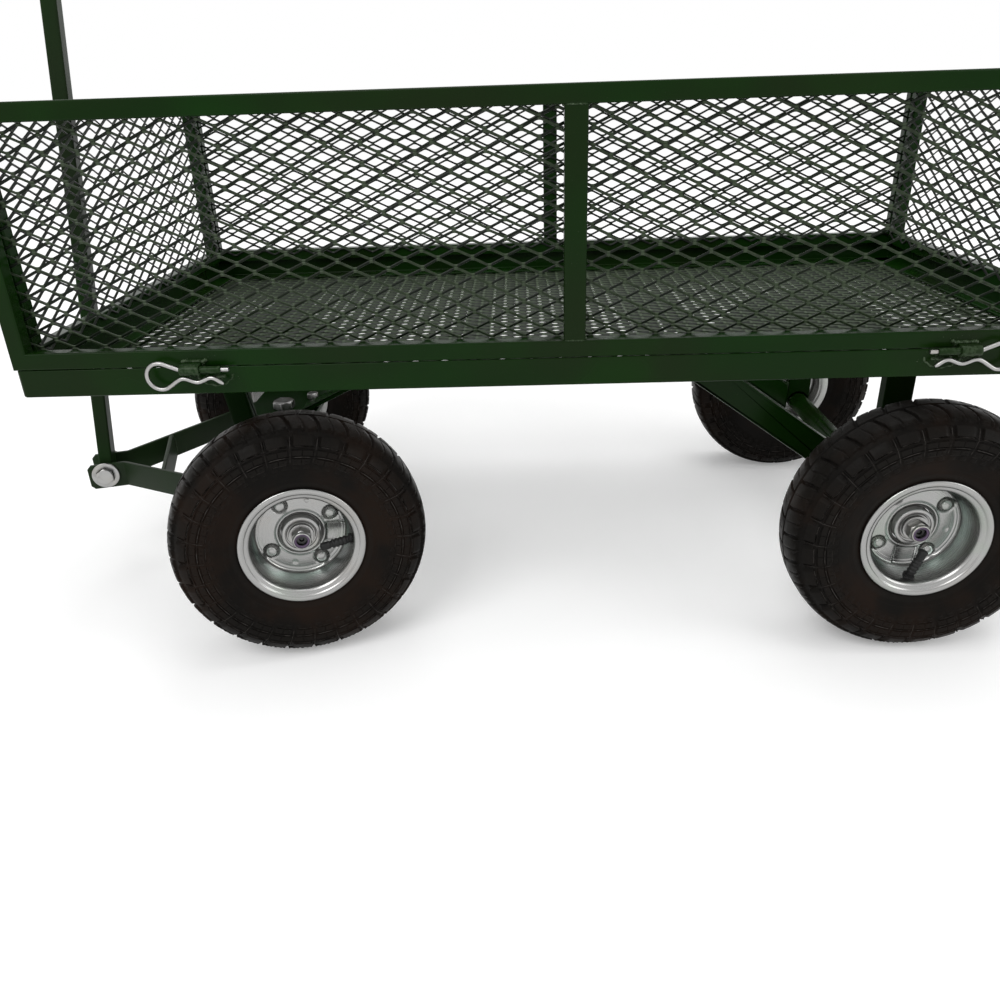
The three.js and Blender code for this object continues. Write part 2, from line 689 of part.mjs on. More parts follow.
function makeKingBolt(group) {
  const head = KING_PLATE_TOP + FIT;
  const swivelBottom = SWIVEL_TOP - SWIVEL_WALL;
  const tip = swivelBottom - KING_BOLT.below;
  const bolt = join(
    hexagon("z", KING_BOLT.flats, head, head + KING_BOLT.head),
    bar("z", KING_BOLT.radius, tip, head + 1),
  );
  addMesh(group, "king_bolt", bolt, ZINC);
  const nutTop = swivelBottom - FIT;
  const nut = cut(
    hexagon("z", KING_BOLT.flats, nutTop - KING_BOLT.nut, nutTop),
    bar("z", KING_BOLT.radius + FIT, nutTop - KING_BOLT.nut - 1, nutTop + 1),
  );
  addMesh(group, "king_nut", nut, ZINC);
}

// ---------------------------------------------------------------- steering and drawbar

// A U-shaped bracket under the king plate, whose cheeks carry the front axle tube.
function swivelBracket() {
  const top = box(
    -SWIVEL_LENGTH / 2,
    SWIVEL_LENGTH / 2,
    -SWIVEL_WIDTH / 2,
    SWIVEL_WIDTH / 2,
    SWIVEL_TOP - SWIVEL_WALL,
    SWIVEL_TOP,
  );
  const cheek = (sign) => {
    const [y0, y1] = span(sign, SWIVEL_WIDTH / 2 - SWIVEL_WALL, SWIVEL_WALL);
    const half = SWIVEL_CHEEK_LENGTH / 2;
    return box(-half, half, y0, y1, AXLE_Z - SWIVEL_BELOW_AXLE, SWIVEL_TOP - 1);
  };
  return cut(
    join(top, cheek(-1), cheek(1)),
    bar("y", AXLE_TUBE_RADIUS + FIT, -SWIVEL_WIDTH, SWIVEL_WIDTH, [0, AXLE_Z]),
    bar("z", KING_BOLT.radius + FIT, SWIVEL_TOP - SWIVEL_WALL - 1, SWIVEL_TOP + 1),
  );
}

// Inner face of an arm, sideways from the middle, at a distance forward of the king bolt.
function armInner(ahead) {
  return ARM_GAP + Math.max(0, ARM_BEND - ahead) * ARM_SPLAY;
}

// A flat bar on edge: straight beside the handle, then splayed back to the axle tube.
function drawbarArm(sign) {
  const back = AXLE_TUBE_RADIUS + FIT;
  const skew = ARM_THICKNESS * Math.hypot(1, ARM_SPLAY); // thickness across the splayed part
  const outline = [
    [-ARM_END, sign * ARM_GAP],
    [-ARM_BEND, sign * ARM_GAP],
    [-back, sign * armInner(back)],
    [-back, sign * (armInner(back) + skew)],
    [-ARM_BEND - (skew - ARM_THICKNESS) / ARM_SPLAY, sign * (ARM_GAP + ARM_THICKNESS)],
    [-ARM_END, sign * (ARM_GAP + ARM_THICKNESS)],
  ];
  const z0 = ARM_MIDDLE_Z - ARM_HEIGHT / 2;
  const z1 = ARM_MIDDLE_Z + ARM_HEIGHT / 2;
  const c = ARM_CHAMFER;
  const chamfer = (z, step) =>
    plate(
      "side",
      [
        [-ARM_END - 1, z + step],
        [-ARM_END - 1, z - step * (c + 1)],
        [-ARM_END + c + 1, z + step],
      ],
      -ARM_END,
      ARM_END,
    );
  const hole = bar("y", PIVOT_BOLT.radius + FIT, -ARM_END, ARM_END, [-PIVOT_AT, PIVOT_Z]);
  return cut(plate("top", outline, z0, z1), hole, chamfer(z1, 1), chamfer(z0, -1));
}

// The drawbar is both arms and the spreader plate welded across between them.
function drawbar() {
  const front = SPREADER_AT + SPREADER_THICKNESS / 2;
  const back = SPREADER_AT - SPREADER_THICKNESS / 2;
  const weld = ARM_THICKNESS / 2;
  const outline = [
    [-front, -armInner(front) - weld],
    [-front, armInner(front) + weld],
    [-back, armInner(back) + weld],
    [-back, -armInner(back) - weld],
  ];
  const z0 = ARM_MIDDLE_Z - ARM_HEIGHT / 2;
  return join(drawbarArm(-1), drawbarArm(1), plate("top", outline, z0, z0 + ARM_HEIGHT));
}

// The handle's bolt runs across the arms, with its head on the left and its nut on the right.
function pivotBolt() {
  const at = [-PIVOT_AT, PIVOT_Z];
  const face = ARM_GAP + ARM_THICKNESS + FIT;
  const washer = face + PIVOT_BOLT.washerThickness;
  const tip = washer + PIVOT_BOLT.head * 1.5;
  return join(
    bar("y", PIVOT_BOLT.radius, -face, tip, at),
    bar("y", PIVOT_BOLT.washer, -washer, -face, at, 20),
    hexagon("y", PIVOT_BOLT.flats, -washer - PIVOT_BOLT.head, -washer + 0.5, at),
  );
}

function pivotNut() {
  const at = [-PIVOT_AT, PIVOT_Z];
  const face = ARM_GAP + ARM_THICKNESS + FIT;
  const washer = face + PIVOT_BOLT.washerThickness;
  const nut = join(
    bar("y", PIVOT_BOLT.washer, face, washer, at, 20),
    hexagon("y", PIVOT_BOLT.flats, washer - 0.5, washer + PIVOT_BOLT.head, at),
  );
  return cut(nut, bar("y", PIVOT_BOLT.radius + FIT, face - 1, washer + PIVOT_BOLT.head + 1, at));
}

// How far the handle leans back from upright until its rear edge rests on the front panel's top.
function restLean() {
  const run =
    (FRONT_AXLE_X * -1 - PANEL_FACE_X - REST_GAP - (STEM_WIDTH / 2) * Math.sin(STEER)) /
      Math.cos(STEER) +
    PIVOT_AT;
  const rise = PANEL_TOP - PIVOT_Z;
  const reach = Math.hypot(run, rise);
  return Math.acos(STEM_DEPTH / 2 / reach) - Math.atan2(rise, run);
}

// The stem's tube and the loop on its top, in the handle's own frame: the bolt at the origin.
function handleStem() {
  const halfDepth = STEM_DEPTH / 2;
  const halfWidth = STEM_WIDTH / 2;
  const stem = box(-halfDepth, halfDepth, -halfWidth, halfWidth, -STEM_BELOW_PIVOT, STEM_LENGTH);
  const hollow = box(
    STEM_WALL - halfDepth,
    halfDepth - STEM_WALL,
    STEM_WALL - halfWidth,
    halfWidth - STEM_WALL,
    -STEM_BELOW_PIVOT - 1,
    STEM_LENGTH - 10,
  );
  const hole = bar("y", PIVOT_BOLT.radius + FIT, -STEM_WIDTH, STEM_WIDTH);
  return join(cut(stem, hollow, hole), handleLoop());
}

// A loop of round tube: up and out from the stem's top, across, and back down.
function handleLoop() {
  const foot = STEM_LENGTH - 4;
  const top = STEM_LENGTH + LOOP_HEIGHT;
  const half = LOOP_WIDTH / 2;
  const c = LOOP_CORNER;
  const v = (y, z) => new THREE.Vector3(0, y, z);
  const path = new THREE.CurvePath();
  path.add(new THREE.QuadraticBezierCurve3(v(-4, foot), v(-half, foot + 12), v(-half, top - c)));
  path.add(new THREE.QuadraticBezierCurve3(v(-half, top - c), v(-half, top), v(c - half, top)));
  path.add(new THREE.LineCurve3(v(c - half, top), v(half - c, top)));
  path.add(new THREE.QuadraticBezierCurve3(v(half - c, top), v(half, top), v(half, top - c)));
  path.add(new THREE.QuadraticBezierCurve3(v(half, top - c), v(half, foot + 12), v(4, foot)));
  return tubeAlong(path, LOOP_TUBE_RADIUS, 24, 10);
}

function handleGrip() {
  const half = LOOP_WIDTH / 2 - LOOP_CORNER - GRIP_MARGIN;
  const at = [0, STEM_LENGTH + LOOP_HEIGHT];
  return cut(
    bar("y", GRIP_RADIUS, -half, half, at),
    bar("y", LOOP_TUBE_RADIUS + FIT, -half - 1, half + 1, at),
  );
}

function makeSteering() {
  const steering = addGroup(cart, FRONT_AXLE_X);
  steering.rotation.z = STEER;
  addMesh(steering, "swivel_bracket", swivelBracket(), GREEN_PAINT);
  makeAxle(steering, "front");
  makeWheel(steering, "front_left", -1, 188, 1);
  makeWheel(steering, "front_right", 1, 20, -1);
  addMesh(steering, "drawbar", drawbar(), GREEN_PAINT);
  addMesh(steering, "handle_bolt", pivotBolt(), ZINC);
  addMesh(steering, "handle_nut", pivotNut(), ZINC);

  const handle = addGroup(steering, -PIVOT_AT, 0, PIVOT_Z);
  handle.rotation.y = restLean();
  addMesh(handle, "handle_stem", handleStem(), GREEN_PAINT);
  addMesh(handle, "handle_grip", handleGrip(), GRIP_PLASTIC);
}

// ---------------------------------------------------------------- the whole cart

makeBase();
SIDES.forEach(makePanel);
SIDES.forEach(makeClips);
makeRearSupport();
makeFrontSupport();
makeSteering();

const bounds = new THREE.Box3().setFromObject(cart, true);
const middle = bounds.getCenter(new THREE.Vector3());
cart.position.set(-middle.x, -middle.y, -bounds.min.z);

export default cart;
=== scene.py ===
import json
import math

import bmesh
import bpy
import numpy as np
from mathutils import Matrix, Vector


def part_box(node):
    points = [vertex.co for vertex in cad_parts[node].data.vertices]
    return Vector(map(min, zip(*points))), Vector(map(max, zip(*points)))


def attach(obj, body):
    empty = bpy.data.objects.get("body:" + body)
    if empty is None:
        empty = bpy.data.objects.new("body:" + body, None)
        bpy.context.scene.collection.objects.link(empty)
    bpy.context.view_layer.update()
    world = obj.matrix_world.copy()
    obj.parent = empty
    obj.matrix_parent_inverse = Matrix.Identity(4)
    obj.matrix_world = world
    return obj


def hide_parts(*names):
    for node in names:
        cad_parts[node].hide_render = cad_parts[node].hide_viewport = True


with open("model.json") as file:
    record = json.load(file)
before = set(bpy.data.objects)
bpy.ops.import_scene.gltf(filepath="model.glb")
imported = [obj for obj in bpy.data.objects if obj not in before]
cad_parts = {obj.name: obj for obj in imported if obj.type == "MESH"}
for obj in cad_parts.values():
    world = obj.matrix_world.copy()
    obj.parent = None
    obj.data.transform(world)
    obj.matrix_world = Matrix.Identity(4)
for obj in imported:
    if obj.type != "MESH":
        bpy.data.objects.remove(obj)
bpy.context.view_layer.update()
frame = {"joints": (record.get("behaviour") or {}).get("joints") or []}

bl_info = {
    "name": "Mesh Garden Cart",
    "version": (1, 0, 0),
    "blender": (4, 5, 0),
    "location": "View3D > Sidebar > Cart",
    "description": "Builds the finished surfaces and finishes of a four-wheeled mesh garden cart",
    "category": "Object",
}

# Where things stand, read from the frame. Lengths are written in millimetres and angles in degrees.
JOINTS = {joint["name"]: joint for joint in frame["joints"]}
SIDE_TURNS = {"left": 0, "right": 180, "front": -90, "rear": 90}
BODIES_OF_SIDES = {"left": "side_left", "right": "side_right", "front": "chassis", "rear": "tailgate"}
STEERING_LOCK = 16.1

# Each wheel's valve: its angle round the wheel, and the side that its tip bends to.
VALVES = {"front_left": (188, 1), "front_right": (20, -1), "rear_left": (272, -1), "rear_right": (130, 1)}

# The running gap between neighbours, the bore of the hinge tubes, and how far the deck's middle and the
# crossbars' tops lie under the base.
CLEARANCE = 0.3
PIN_BORE = 2.3
DECK_DROP = 1.3
CROSSBAR_DROP = 2.6

WHITE = (1.0, 1.0, 1.0)
X_AXIS, Y_AXIS, Z_AXIS = np.eye(3)
MIRROR_X, MIRROR_Y = np.diag([-1.0, 1, 1, 1]), np.diag([1.0, -1, 1, 1])


def joint_place(name):
    """The point a joint turns about, in millimetres."""
    return np.array(JOINTS[name]["pos_m"]) * 1000


def tray_middle():
    """How far the middle of the tray lies along X from the frame's origin, in millimetres."""
    low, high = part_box("base_rail_left")
    return (low.x + high.x) * 500


# ---------------------------------------------------------------- sizes and colours


def size(name, description, millimetres):
    """A length in metres, with its default written in millimetres."""
    return bpy.props.FloatProperty(
        name=name, description=description, default=millimetres / 1000, min=0.0, precision=4, unit="LENGTH"
    )


def colour(name, description, *default):
    """A colour in linear light."""
    return bpy.props.FloatVectorProperty(
        name=name, description=description, default=default, min=0.0, max=1.0, size=3, subtype="COLOR"
    )


class CartTray(bpy.types.PropertyGroup):
    """Sizes of the base frame, the deck and the four mesh panels."""

    base_half_length: size("Base half length", "From the middle of the tray to the base's end", 500)
    base_half_width: size("Base half width", "From the middle of the tray to the base's side", 280)
    base_bottom: size("Base height", "Underside of the base above the ground", 300)
    angle_leg: size("Angle leg", "Width of each leg of the base's steel angle", 25)
    angle_wall: size("Angle wall", "Thickness of the base's steel angle", 3)
    angle_corner: size("Base corner radius", "Outside radius of the base's upright corners", 4.5)
    panel_bottom: size("Panel bottom", "Underside of the panels above the ground", 325.3)
    panel_top: size("Panel top", "Top of the panels above the ground", 541.8)
    panel_tube: size("Panel tube", "Width of the square tube in the panels", 15)
    tube_corner: size("Tube corner radius", "Outside radius of the square tube's corners", 1.8)
    middle_post: size("Middle post", "Width of the post in the middle of a side panel", 19)
    side_panel_half: size("Side panel half length", "From the middle to the end of a side panel", 502)
    end_panel_half: size("End panel half length", "From the middle to the end of an end panel", 261.5)
    end_panel_face: size("End panel face", "From the middle of the tray to an end panel's outer face", 502)
    hinge_out: size("Hinge axis", "Hinge pin's axis outside a panel's outer face", 9)
    side_hinge: size("Side hinge", "Where sleeve and lug meet on the long sides, from the middle", 330)
    end_hinge: size("End hinge", "Where sleeve and lug meet on the ends, from the middle", 170)
    sleeve_length: size("Sleeve length", "Length of a panel's hinge sleeve", 17.5)
    lug_length: size("Lug length", "Length of a lug tube on the base", 19)


class CartMesh(bpy.types.PropertyGroup):
    """Sizes of the expanded steel mesh."""

    pitch_long: size("Long pitch", "Length of one diamond along the mesh", 29)
    pitch_short: size("Short pitch", "Height of one diamond across the mesh", 15.4)
    strand: size("Strand width", "Width of one strand across the mesh", 2.95)
    sheet: size("Sheet thickness", "Thickness of the steel that was slit and drawn out", 1.15)
    deck_strand: size("Deck strand width", "Width of one strand of the deck", 3.7)
    deck_sheet: size("Deck sheet thickness", "Thickness of the deck's steel", 0.85)
    node: size("Node half length", "Half the length over which two strands stay joined", 1.4)
    deck_margin: size("Deck margin", "From the base's outer face to the deck's strands", 12)
    panel_margin: size("Panel margin", "From a panel's outer edge to its strands", 5)


class CartWheel(bpy.types.PropertyGroup):
    """Sizes of the tyres, rims, hubs and nuts."""

    tyre_radius: size("Tyre radius", "Outside radius of the tread", 130)
    tread_depth: size("Tread depth", "Depth of the groove at the tread's shoulder", 2.6)
    tread_pitches: bpy.props.IntProperty(
        name="Tread pitches", description="Repeats of the tread's pattern round a tyre", default=28, min=8
    )
    rim_radius: size("Rim radius", "Outside radius of the rim's flange", 63.9)
    rim_half_width: size("Rim half width", "From the middle of the wheel to the flange's face", 33)
    bolt_circle: size("Bolt circle", "Radius on which the rim's four bolts stand", 36.8)
    hub_radius: size("Hub radius", "Outside radius of the hub tube", 20)
    axle_radius: size("Axle radius", "Radius of the axle's shaft", 8)
    nut_flats: size("Nut flats", "Width of the axle nut across its flats", 19)


class CartGear(bpy.types.PropertyGroup):
    """Sizes of the crossbars, axle supports, braces, drawbar and handle."""

    wheelbase_half: size("Half wheelbase", "From the middle of the tray to an axle", 346.5)
    axle_height: size("Axle height", "Middle of the axles above the ground", 130)
    axle_tube: size("Axle tube radius", "Outside radius of an axle's tube", 12.5)
    axle_tube_half: size("Axle tube half length", "From the middle to the end of an axle's tube", 200)
    crossbar_half: size("Crossbar half length", "From the middle to the end of a bar under the deck", 246)
    crossbar_width: size("Crossbar width", "Width of a bar under the deck", 30)
    crossbar_depth: size("Crossbar depth", "Thickness of a bar under the deck", 8)
    crossbar_place: size("Crossbar place", "From the middle of the tray to a middle crossbar", 96)
    strut_place: size("Strut place", "From the middle of the rear axle to a strut", 150)
    strut_half: size("Strut half width", "Half the width of a rear strut and of the brace behind it", 7.5)
    leg_top: size("Leg top", "From the middle to the top of a front leg", 172)
    leg_foot: size("Leg foot", "From the middle to the foot of a front leg", 132)
    leg_half: size("Leg half width", "Half the width of a front leg", 7.5)
    leg_half_depth: size("Leg half depth", "Half the depth of a front leg along the cart", 12)
    king_plate_top: size("King plate top", "Top of the king plate above the ground", 188)
    plate_thickness: size("Plate thickness", "Thickness of the king plate and the swivel bracket", 6)
    plate_half_length: size("King plate half length", "Half the king plate's length along the cart", 44)
    plate_half_width: size("King plate half width", "Half the king plate's width across the cart", 144)
    swivel_half_length: size("Swivel half length", "Half the swivel plate's length along the cart", 40)
    swivel_half_width: size("Swivel half width", "Half the swivel plate's width across the cart", 50)
    pivot_ahead: size("Handle pivot", "Handle's bolt ahead of the king bolt", 219.3)
    pivot_height: size("Handle pivot height", "Handle's bolt above the ground", 136)
    arm_middle: size("Drawbar height", "Middle of the drawbar's arms above the ground", 134)
    arm_height: size("Drawbar arm height", "Height of a drawbar arm", 30)
    arm_thickness: size("Drawbar arm thickness", "Thickness of a drawbar arm", 5)
    stem_length: size("Stem length", "Handle's stem above its bolt", 690)
    stem_half_depth: size("Stem half depth", "Half the depth of the stem's tube along the cart", 7.5)
    stem_half_width: size("Stem half width", "Half the width of the stem's tube across the cart", 15)
    stem_wall: size("Stem wall", "Thickness of the stem's tube", 1.5)
    loop_width: size("Loop width", "Width of the handle's loop", 130)
    loop_height: size("Loop height", "Height of the handle's loop", 105)
    loop_corner: size("Loop corner radius", "Radius of the loop's upper corners", 28)


class CartColours(bpy.types.PropertyGroup):
    """Colours of the finishes, in linear light."""

    enamel: colour("Enamel", "Dark green enamel of the frame", 0.0030, 0.0185, 0.0012)
    enamel_olive: colour("Enamel, warm", "Where the enamel leans to olive", 0.0062, 0.0150, 0.0026)
    # Paler enamel over weld beads, partly a painted highlight, and a painted highlight on the hinge sleeves
    # and lug tubes.
    weld_enamel_and_highlight: colour("Weld enamel", "Paler enamel over weld metal", 0.058, 0.085, 0.048)
    mesh_enamel: colour("Mesh enamel", "Enamel on the mesh's shaded strands", 0.0032, 0.0066, 0.0027)
    # Painted glint: the paler enamel of the falling strands, and a painted highlight on the nodes.
    mesh_painted_glint: colour("Mesh enamel, worn", "Enamel on strands that were drawn flatter", 0.031, 0.045, 0.024)
    zinc: colour("Zinc", "Bright zinc of the bolts and clips", 0.36, 0.357, 0.350)
    rim: colour("Rim", "Zinc plate of the rims", 0.335, 0.334, 0.328)
    tyre: colour("Tyre", "Tyre rubber", 0.0066, 0.0059, 0.0052)
    tyre_dust: colour("Tyre dust", "Brownish bloom on the rubber", 0.016, 0.0095, 0.0065)
    # Pale ridges of the tread: a painted highlight.
    tyre_ridge_highlight: colour("Tyre ridges", "Worn ridges of the tread", 0.056, 0.051, 0.047)
    valve: colour("Valve", "Rubber of the valves", 0.010, 0.010, 0.010)
    collar: colour("Nut collar", "Locking collar of the axle nuts", 0.075, 0.050, 0.090)
    # Near-black, darker than bare steel: a painted shade of the recessed axle ends.
    steel: colour("Bare steel", "Cut ends of the axles' shafts", 0.05, 0.05, 0.05)
    grip: colour("Grip", "Moulded grip of the handle", 0.018, 0.018, 0.018)
    floor: colour("Floor", "Floor and backdrop", 0.86, 0.86, 0.86)


class Millimetres:
    """Reads a property group's lengths in millimetres."""

    def __init__(self, group):
        self.group = group

    def __getattr__(self, name):
        return getattr(self.group, name) * 1000


# ---------------------------------------------------------------- shapes


def grid_faces(rows, columns, wrap_rows=False, wrap_columns=False):
    """Quads between the points of a grid that are numbered row by row. Wrapping joins the last row or
    column to the first."""
    i = np.arange(rows if wrap_rows else rows - 1)[:, None]
    j = np.arange(columns if wrap_columns else columns - 1)[None, :]
    next_i, next_j = (i + 1) % rows, (j + 1) % columns
    corners = [i * columns + j, i * columns + next_j, next_i * columns + next_j, next_i * columns + j]
    return np.stack(np.broadcast_arrays(*corners), -1).reshape(-1, 4)


def capped(points):
    """A skin over rows of points, each row a closed ring, with a cap on the first ring and the last."""
    rows, columns = points.shape[:2]
    caps = np.stack([np.arange(columns), np.arange(columns) + (rows - 1) * columns])
    return points, [grid_faces(rows, columns, False, True), caps]


def repeated(copies):
    """The capped skins of many like grids, whose points are numbered one grid after another."""
    count, rows, columns = copies.shape[:3]
    step = np.arange(count)[:, None, None] * rows * columns
    faces = [(part + step).reshape(-1, part.shape[1]) for part in capped(copies[0])[1]]
    return copies.reshape(-1, 3), faces


def turned_by(axis, degrees):
    """The 4x4 matrix that turns a point about an axis through the origin."""
    return np.array(Matrix.Rotation(math.radians(degrees), 4, axis))


def shifted(x=0.0, y=0.0, z=0.0):
    """The 4x4 matrix that shifts a point."""
    return np.array(Matrix.Translation((x, y, z)))


def carried(points, matrix):
    """Points carried by a 4x4 matrix: rotation times point plus shift."""
    return points @ matrix[:3, :3].T + matrix[:3, 3]


class Shape:
    """Blocks of points and faces that make up one mesh, in millimetres, with a finish number per face
    and a trace value per point."""

    def __init__(self):
        self.points, self.traces, self.faces, self.finishes, self.count = [], [], [], [], 0

    def add(self, block, finish=0, trace=0.0):
        """Appends a block of (points, faces)."""
        points, faces = block
        points = np.asarray(points, float).reshape(-1, 3)
        for part in faces:
            self.faces.append(np.asarray(part) + self.count)
            self.finishes.append(np.full(len(part), finish))
        self.points.append(points)
        self.traces.append(np.broadcast_to(np.ravel(trace), len(points)).astype(float))
        self.count += len(points)
        return self

    def seam(self, block):
        """Appends weld metal: a block whose trace is 1, which the enamel paints paler, partly as a painted
        highlight.
        """
        return self.add(block, trace=1.0)

    def join(self, other, matrix=np.eye(4)):
        """Appends another shape, carried by a matrix where one is given."""
        points = carried(np.concatenate(other.points), matrix)
        for part, finish in zip(other.faces, other.finishes):
            self.faces.append(part + self.count)
            self.finishes.append(finish)
        self.points.append(points)
        self.traces.append(np.concatenate(other.traces))
        self.count += len(points)
        return self

    def move(self, matrix):
        """Carries the whole shape by a matrix."""
        self.points = [carried(np.concatenate(self.points), matrix)]
        return self


def rounded(corners, radius, steps=4, support=0.0):
    """A closed outline through a polygon's corners, each replaced by an arc. With a and b the unit
    directions to the neighbouring corners and h half the angle between them, the arc's centre is the
    corner plus radius / sin h along a + b, and it starts radius / tan h along a. Support points stand a
    little before and after each arc."""
    corners = np.asarray(corners, float)
    a = np.roll(corners, 1, 0) - corners
    b = np.roll(corners, -1, 0) - corners
    a /= np.linalg.norm(a, axis=1, keepdims=True)
    b /= np.linalg.norm(b, axis=1, keepdims=True)
    half = np.arccos(np.clip((a * b).sum(1), -1, 1))[:, None] / 2
    radius = np.broadcast_to(radius, len(corners)).astype(float)[:, None]
    run = radius / np.tan(half)
    centre = corners + (a + b) / np.linalg.norm(a + b, axis=1, keepdims=True) * radius / np.sin(half)
    start, end = corners + a * run - centre, corners + b * run - centre
    sweep = (np.pi - 2 * half)[:, None]
    t = np.linspace(0, 1, steps + 1)[None, :, None]
    arc = np.sin((1 - t) * sweep) * start[:, None] + np.sin(t * sweep) * end[:, None]
    parts = [centre[:, None] + arc / np.sin(sweep)]
    if support:
        parts = [(corners + a * (run + support))[:, None], *parts, (corners + b * (run + support))[:, None]]
    return np.concatenate(parts, 1).reshape(-1, 2)


def box_outline(u0, u1, v0, v1, radius, steps=4, support=0.0):
    """A rectangle's outline with rounded corners."""
    return rounded([(u0, v0), (u1, v0), (u1, v1), (u0, v1)], radius, steps, support)


def drawn_in(outline, distance):
    """Moves each corner of an anticlockwise outline inwards, by the distance square to both its sides:
    p + d (n1 + n2) / (1 + n1 . n2), with n1 and n2 the inward normals of the two sides."""
    before = outline - np.roll(outline, 1, 0)
    after = np.roll(outline, -1, 0) - outline
    n1 = np.stack([-before[:, 1], before[:, 0]], 1) / np.linalg.norm(before, axis=1, keepdims=True)
    n2 = np.stack([-after[:, 1], after[:, 0]], 1) / np.linalg.norm(after, axis=1, keepdims=True)
    return outline + distance * (n1 + n2) / (1 + (n1 * n2).sum(1))[:, None]


def laid(u, v, w, axis):
    """Puts a section's two coordinates and its place along an axis into X, Y and Z."""
    order = {"z": (u, v, w), "y": (u, w, v), "x": (w, u, v)}[axis]
    return np.stack(np.broadcast_arrays(*order), -1)


def prism(outline, low, high, axis="z", edge=0.7):
    """Carries an outline along an axis from low to high. Near each end it draws in by edge (1 - cos a)
    while it runs edge (1 - sin a) short of the end, for a from 0 to 90 degrees, which rounds the rim."""
    area = (outline[:, 0] * np.roll(outline[:, 1], -1) - outline[:, 1] * np.roll(outline[:, 0], -1)).sum()
    outline = outline if area > 0 else outline[::-1]
    a = np.radians([90, 45, 0])
    inset = np.concatenate([[edge * 1.6], edge * (1 - np.cos(a)), [0.0]])
    short = np.concatenate([[0.0], edge * (1 - np.sin(a)), [edge * 1.8]])
    inset = np.concatenate([inset, inset[::-1]])
    along = np.concatenate([low + short, high - short[::-1]])
    rings = outline + inset[:, None, None] * (drawn_in(outline, 1.0) - outline)
    return capped(laid(rings[..., 0], rings[..., 1], along[:, None], axis))


def bar(x0, x1, y0, y1, z0, z1, axis="z", corner=1.2, edge=0.7):
    """A bar between two corners, its four long edges rounded by the corner radius."""
    spans = {"x": (x0, x1), "y": (y0, y1), "z": (z0, z1)}
    along = spans.pop(axis)
    u, v = spans.values()
    return prism(box_outline(*u, *v, corner, 3, 0.5), *along, axis, edge)


def turned(profile, sides=48, flats=None, axis="z", closed=True):
    """Turns a profile of (radius, along) points about an axis. Where flats are given, the radius is cut
    to a hexagon's: flats / 2 / cos of the angle from the middle of the nearest flat."""
    profile = np.asarray(profile, float)
    angle = np.arange(sides) * 2 * np.pi / sides
    radius = np.repeat(profile[:, :1], sides, 1)
    if flats:
        radius = np.minimum(radius, flats / 2 / np.cos((angle + np.pi / 6) % (np.pi / 3) - np.pi / 6))
    points = laid(radius * np.cos(angle), radius * np.sin(angle), profile[:, 1:], axis)
    return points, [grid_faces(len(profile), sides, closed, True)]


def tube(path, radius, normal, sides=8):
    """Carries a circle along a path that lies in a plane: with t the path's unit tangent and n the
    plane's normal, a ring's points are p + r (cos a (n x t) + sin a n)."""
    path, normal = np.asarray(path, float), np.asarray(normal, float)
    tangent = np.gradient(path, axis=0)
    tangent /= np.linalg.norm(tangent, axis=1, keepdims=True)
    side = np.cross(normal, tangent)
    a = np.arange(sides)[None, :, None] * 2 * np.pi / sides
    radius = np.broadcast_to(radius, len(path))[:, None, None]
    return capped(path[:, None] + radius * (np.cos(a) * side[:, None] + np.sin(a) * normal))


def smooth_path(points, steps):
    """A centripetal Catmull-Rom curve through the points: between p1 and p2 it blends the lines through
    its four neighbours, with knots spaced by the square root of their distances."""
    p = np.asarray(points, float)
    p = np.concatenate([2 * p[:1] - p[1:2], p, 2 * p[-1:] - p[-2:-1]])
    knots = np.concatenate([[0], np.cumsum(np.linalg.norm(np.diff(p, axis=0), axis=1) ** 0.5)])
    t0, t1, t2, t3 = (knots[k : len(p) - 3 + k, None, None] for k in range(4))
    p0, p1, p2, p3 = (p[k : len(p) - 3 + k, None] for k in range(4))
    t = t1 + (t2 - t1) * np.arange(steps)[None, :, None] / steps
    a1 = ((t1 - t) * p0 + (t - t0) * p1) / (t1 - t0)
    a2 = ((t2 - t) * p1 + (t - t1) * p2) / (t2 - t1)
    a3 = ((t3 - t) * p2 + (t - t2) * p3) / (t3 - t2)
    b1 = ((t2 - t) * a1 + (t - t0) * a2) / (t2 - t0)
    b2 = ((t3 - t) * a2 + (t - t1) * a3) / (t3 - t1)
    curve = ((t2 - t) * b1 + (t - t1) * b2) / (t2 - t1)
    return np.concatenate([curve.reshape(-1, p.shape[1]), p[-2:-1]])


def length_along(points):
    """The length of a line of points from its start to each of them."""
    return np.concatenate([[0], np.cumsum(np.linalg.norm(np.diff(points, axis=0), axis=1))])


def weld(start, end, radius, normal, seed=0, pitch=2.2):
    """A weld bead between two points: a tube whose radius ripples once per pitch and falls to nothing at
    its ends, r (1 + 0.13 sin(2 pi s / pitch)) (1 - (2t - 1)^8) ^ 0.5, with a little seeded wander."""
    start, end = np.asarray(start, float), np.asarray(end, float)
    length = np.linalg.norm(end - start)
    t = np.linspace(0, 1, max(int(length / pitch * 5), 10))
    chance = np.random.default_rng(seed)
    wander = np.interp(t, np.linspace(0, 1, 9), chance.normal(0, 0.10, 9))
    thick = radius * (1 + 0.13 * np.sin(2 * np.pi * t * length / pitch) + wander)
    thick = thick * np.sqrt(np.clip(1 - (2 * t - 1) ** 8, 0.02, 1))
    return tube(start + (end - start) * t[:, None], thick, normal)


def spatter(middle, spread, count, largest, seed):
    """Small drops of weld metal: seeded points about a middle, each a low dome of six sides and five
    rings, radius sin a and height cos a times its size."""
    chance = np.random.default_rng(seed)
    centres = np.asarray(middle, float) + chance.normal(0, 1, (count, 3)) * np.asarray(spread, float)
    sizes = largest * chance.uniform(0.35, 1.0, count) ** 1.5
    a = np.radians([5, 45, 90, 135, 175])[:, None]
    b = np.arange(6)[None, :] * np.pi / 3
    drop = laid(np.sin(a) * np.cos(b), np.sin(a) * np.sin(b), np.cos(a), "z")
    return repeated(centres[:, None, None] + drop * sizes[:, None, None, None])


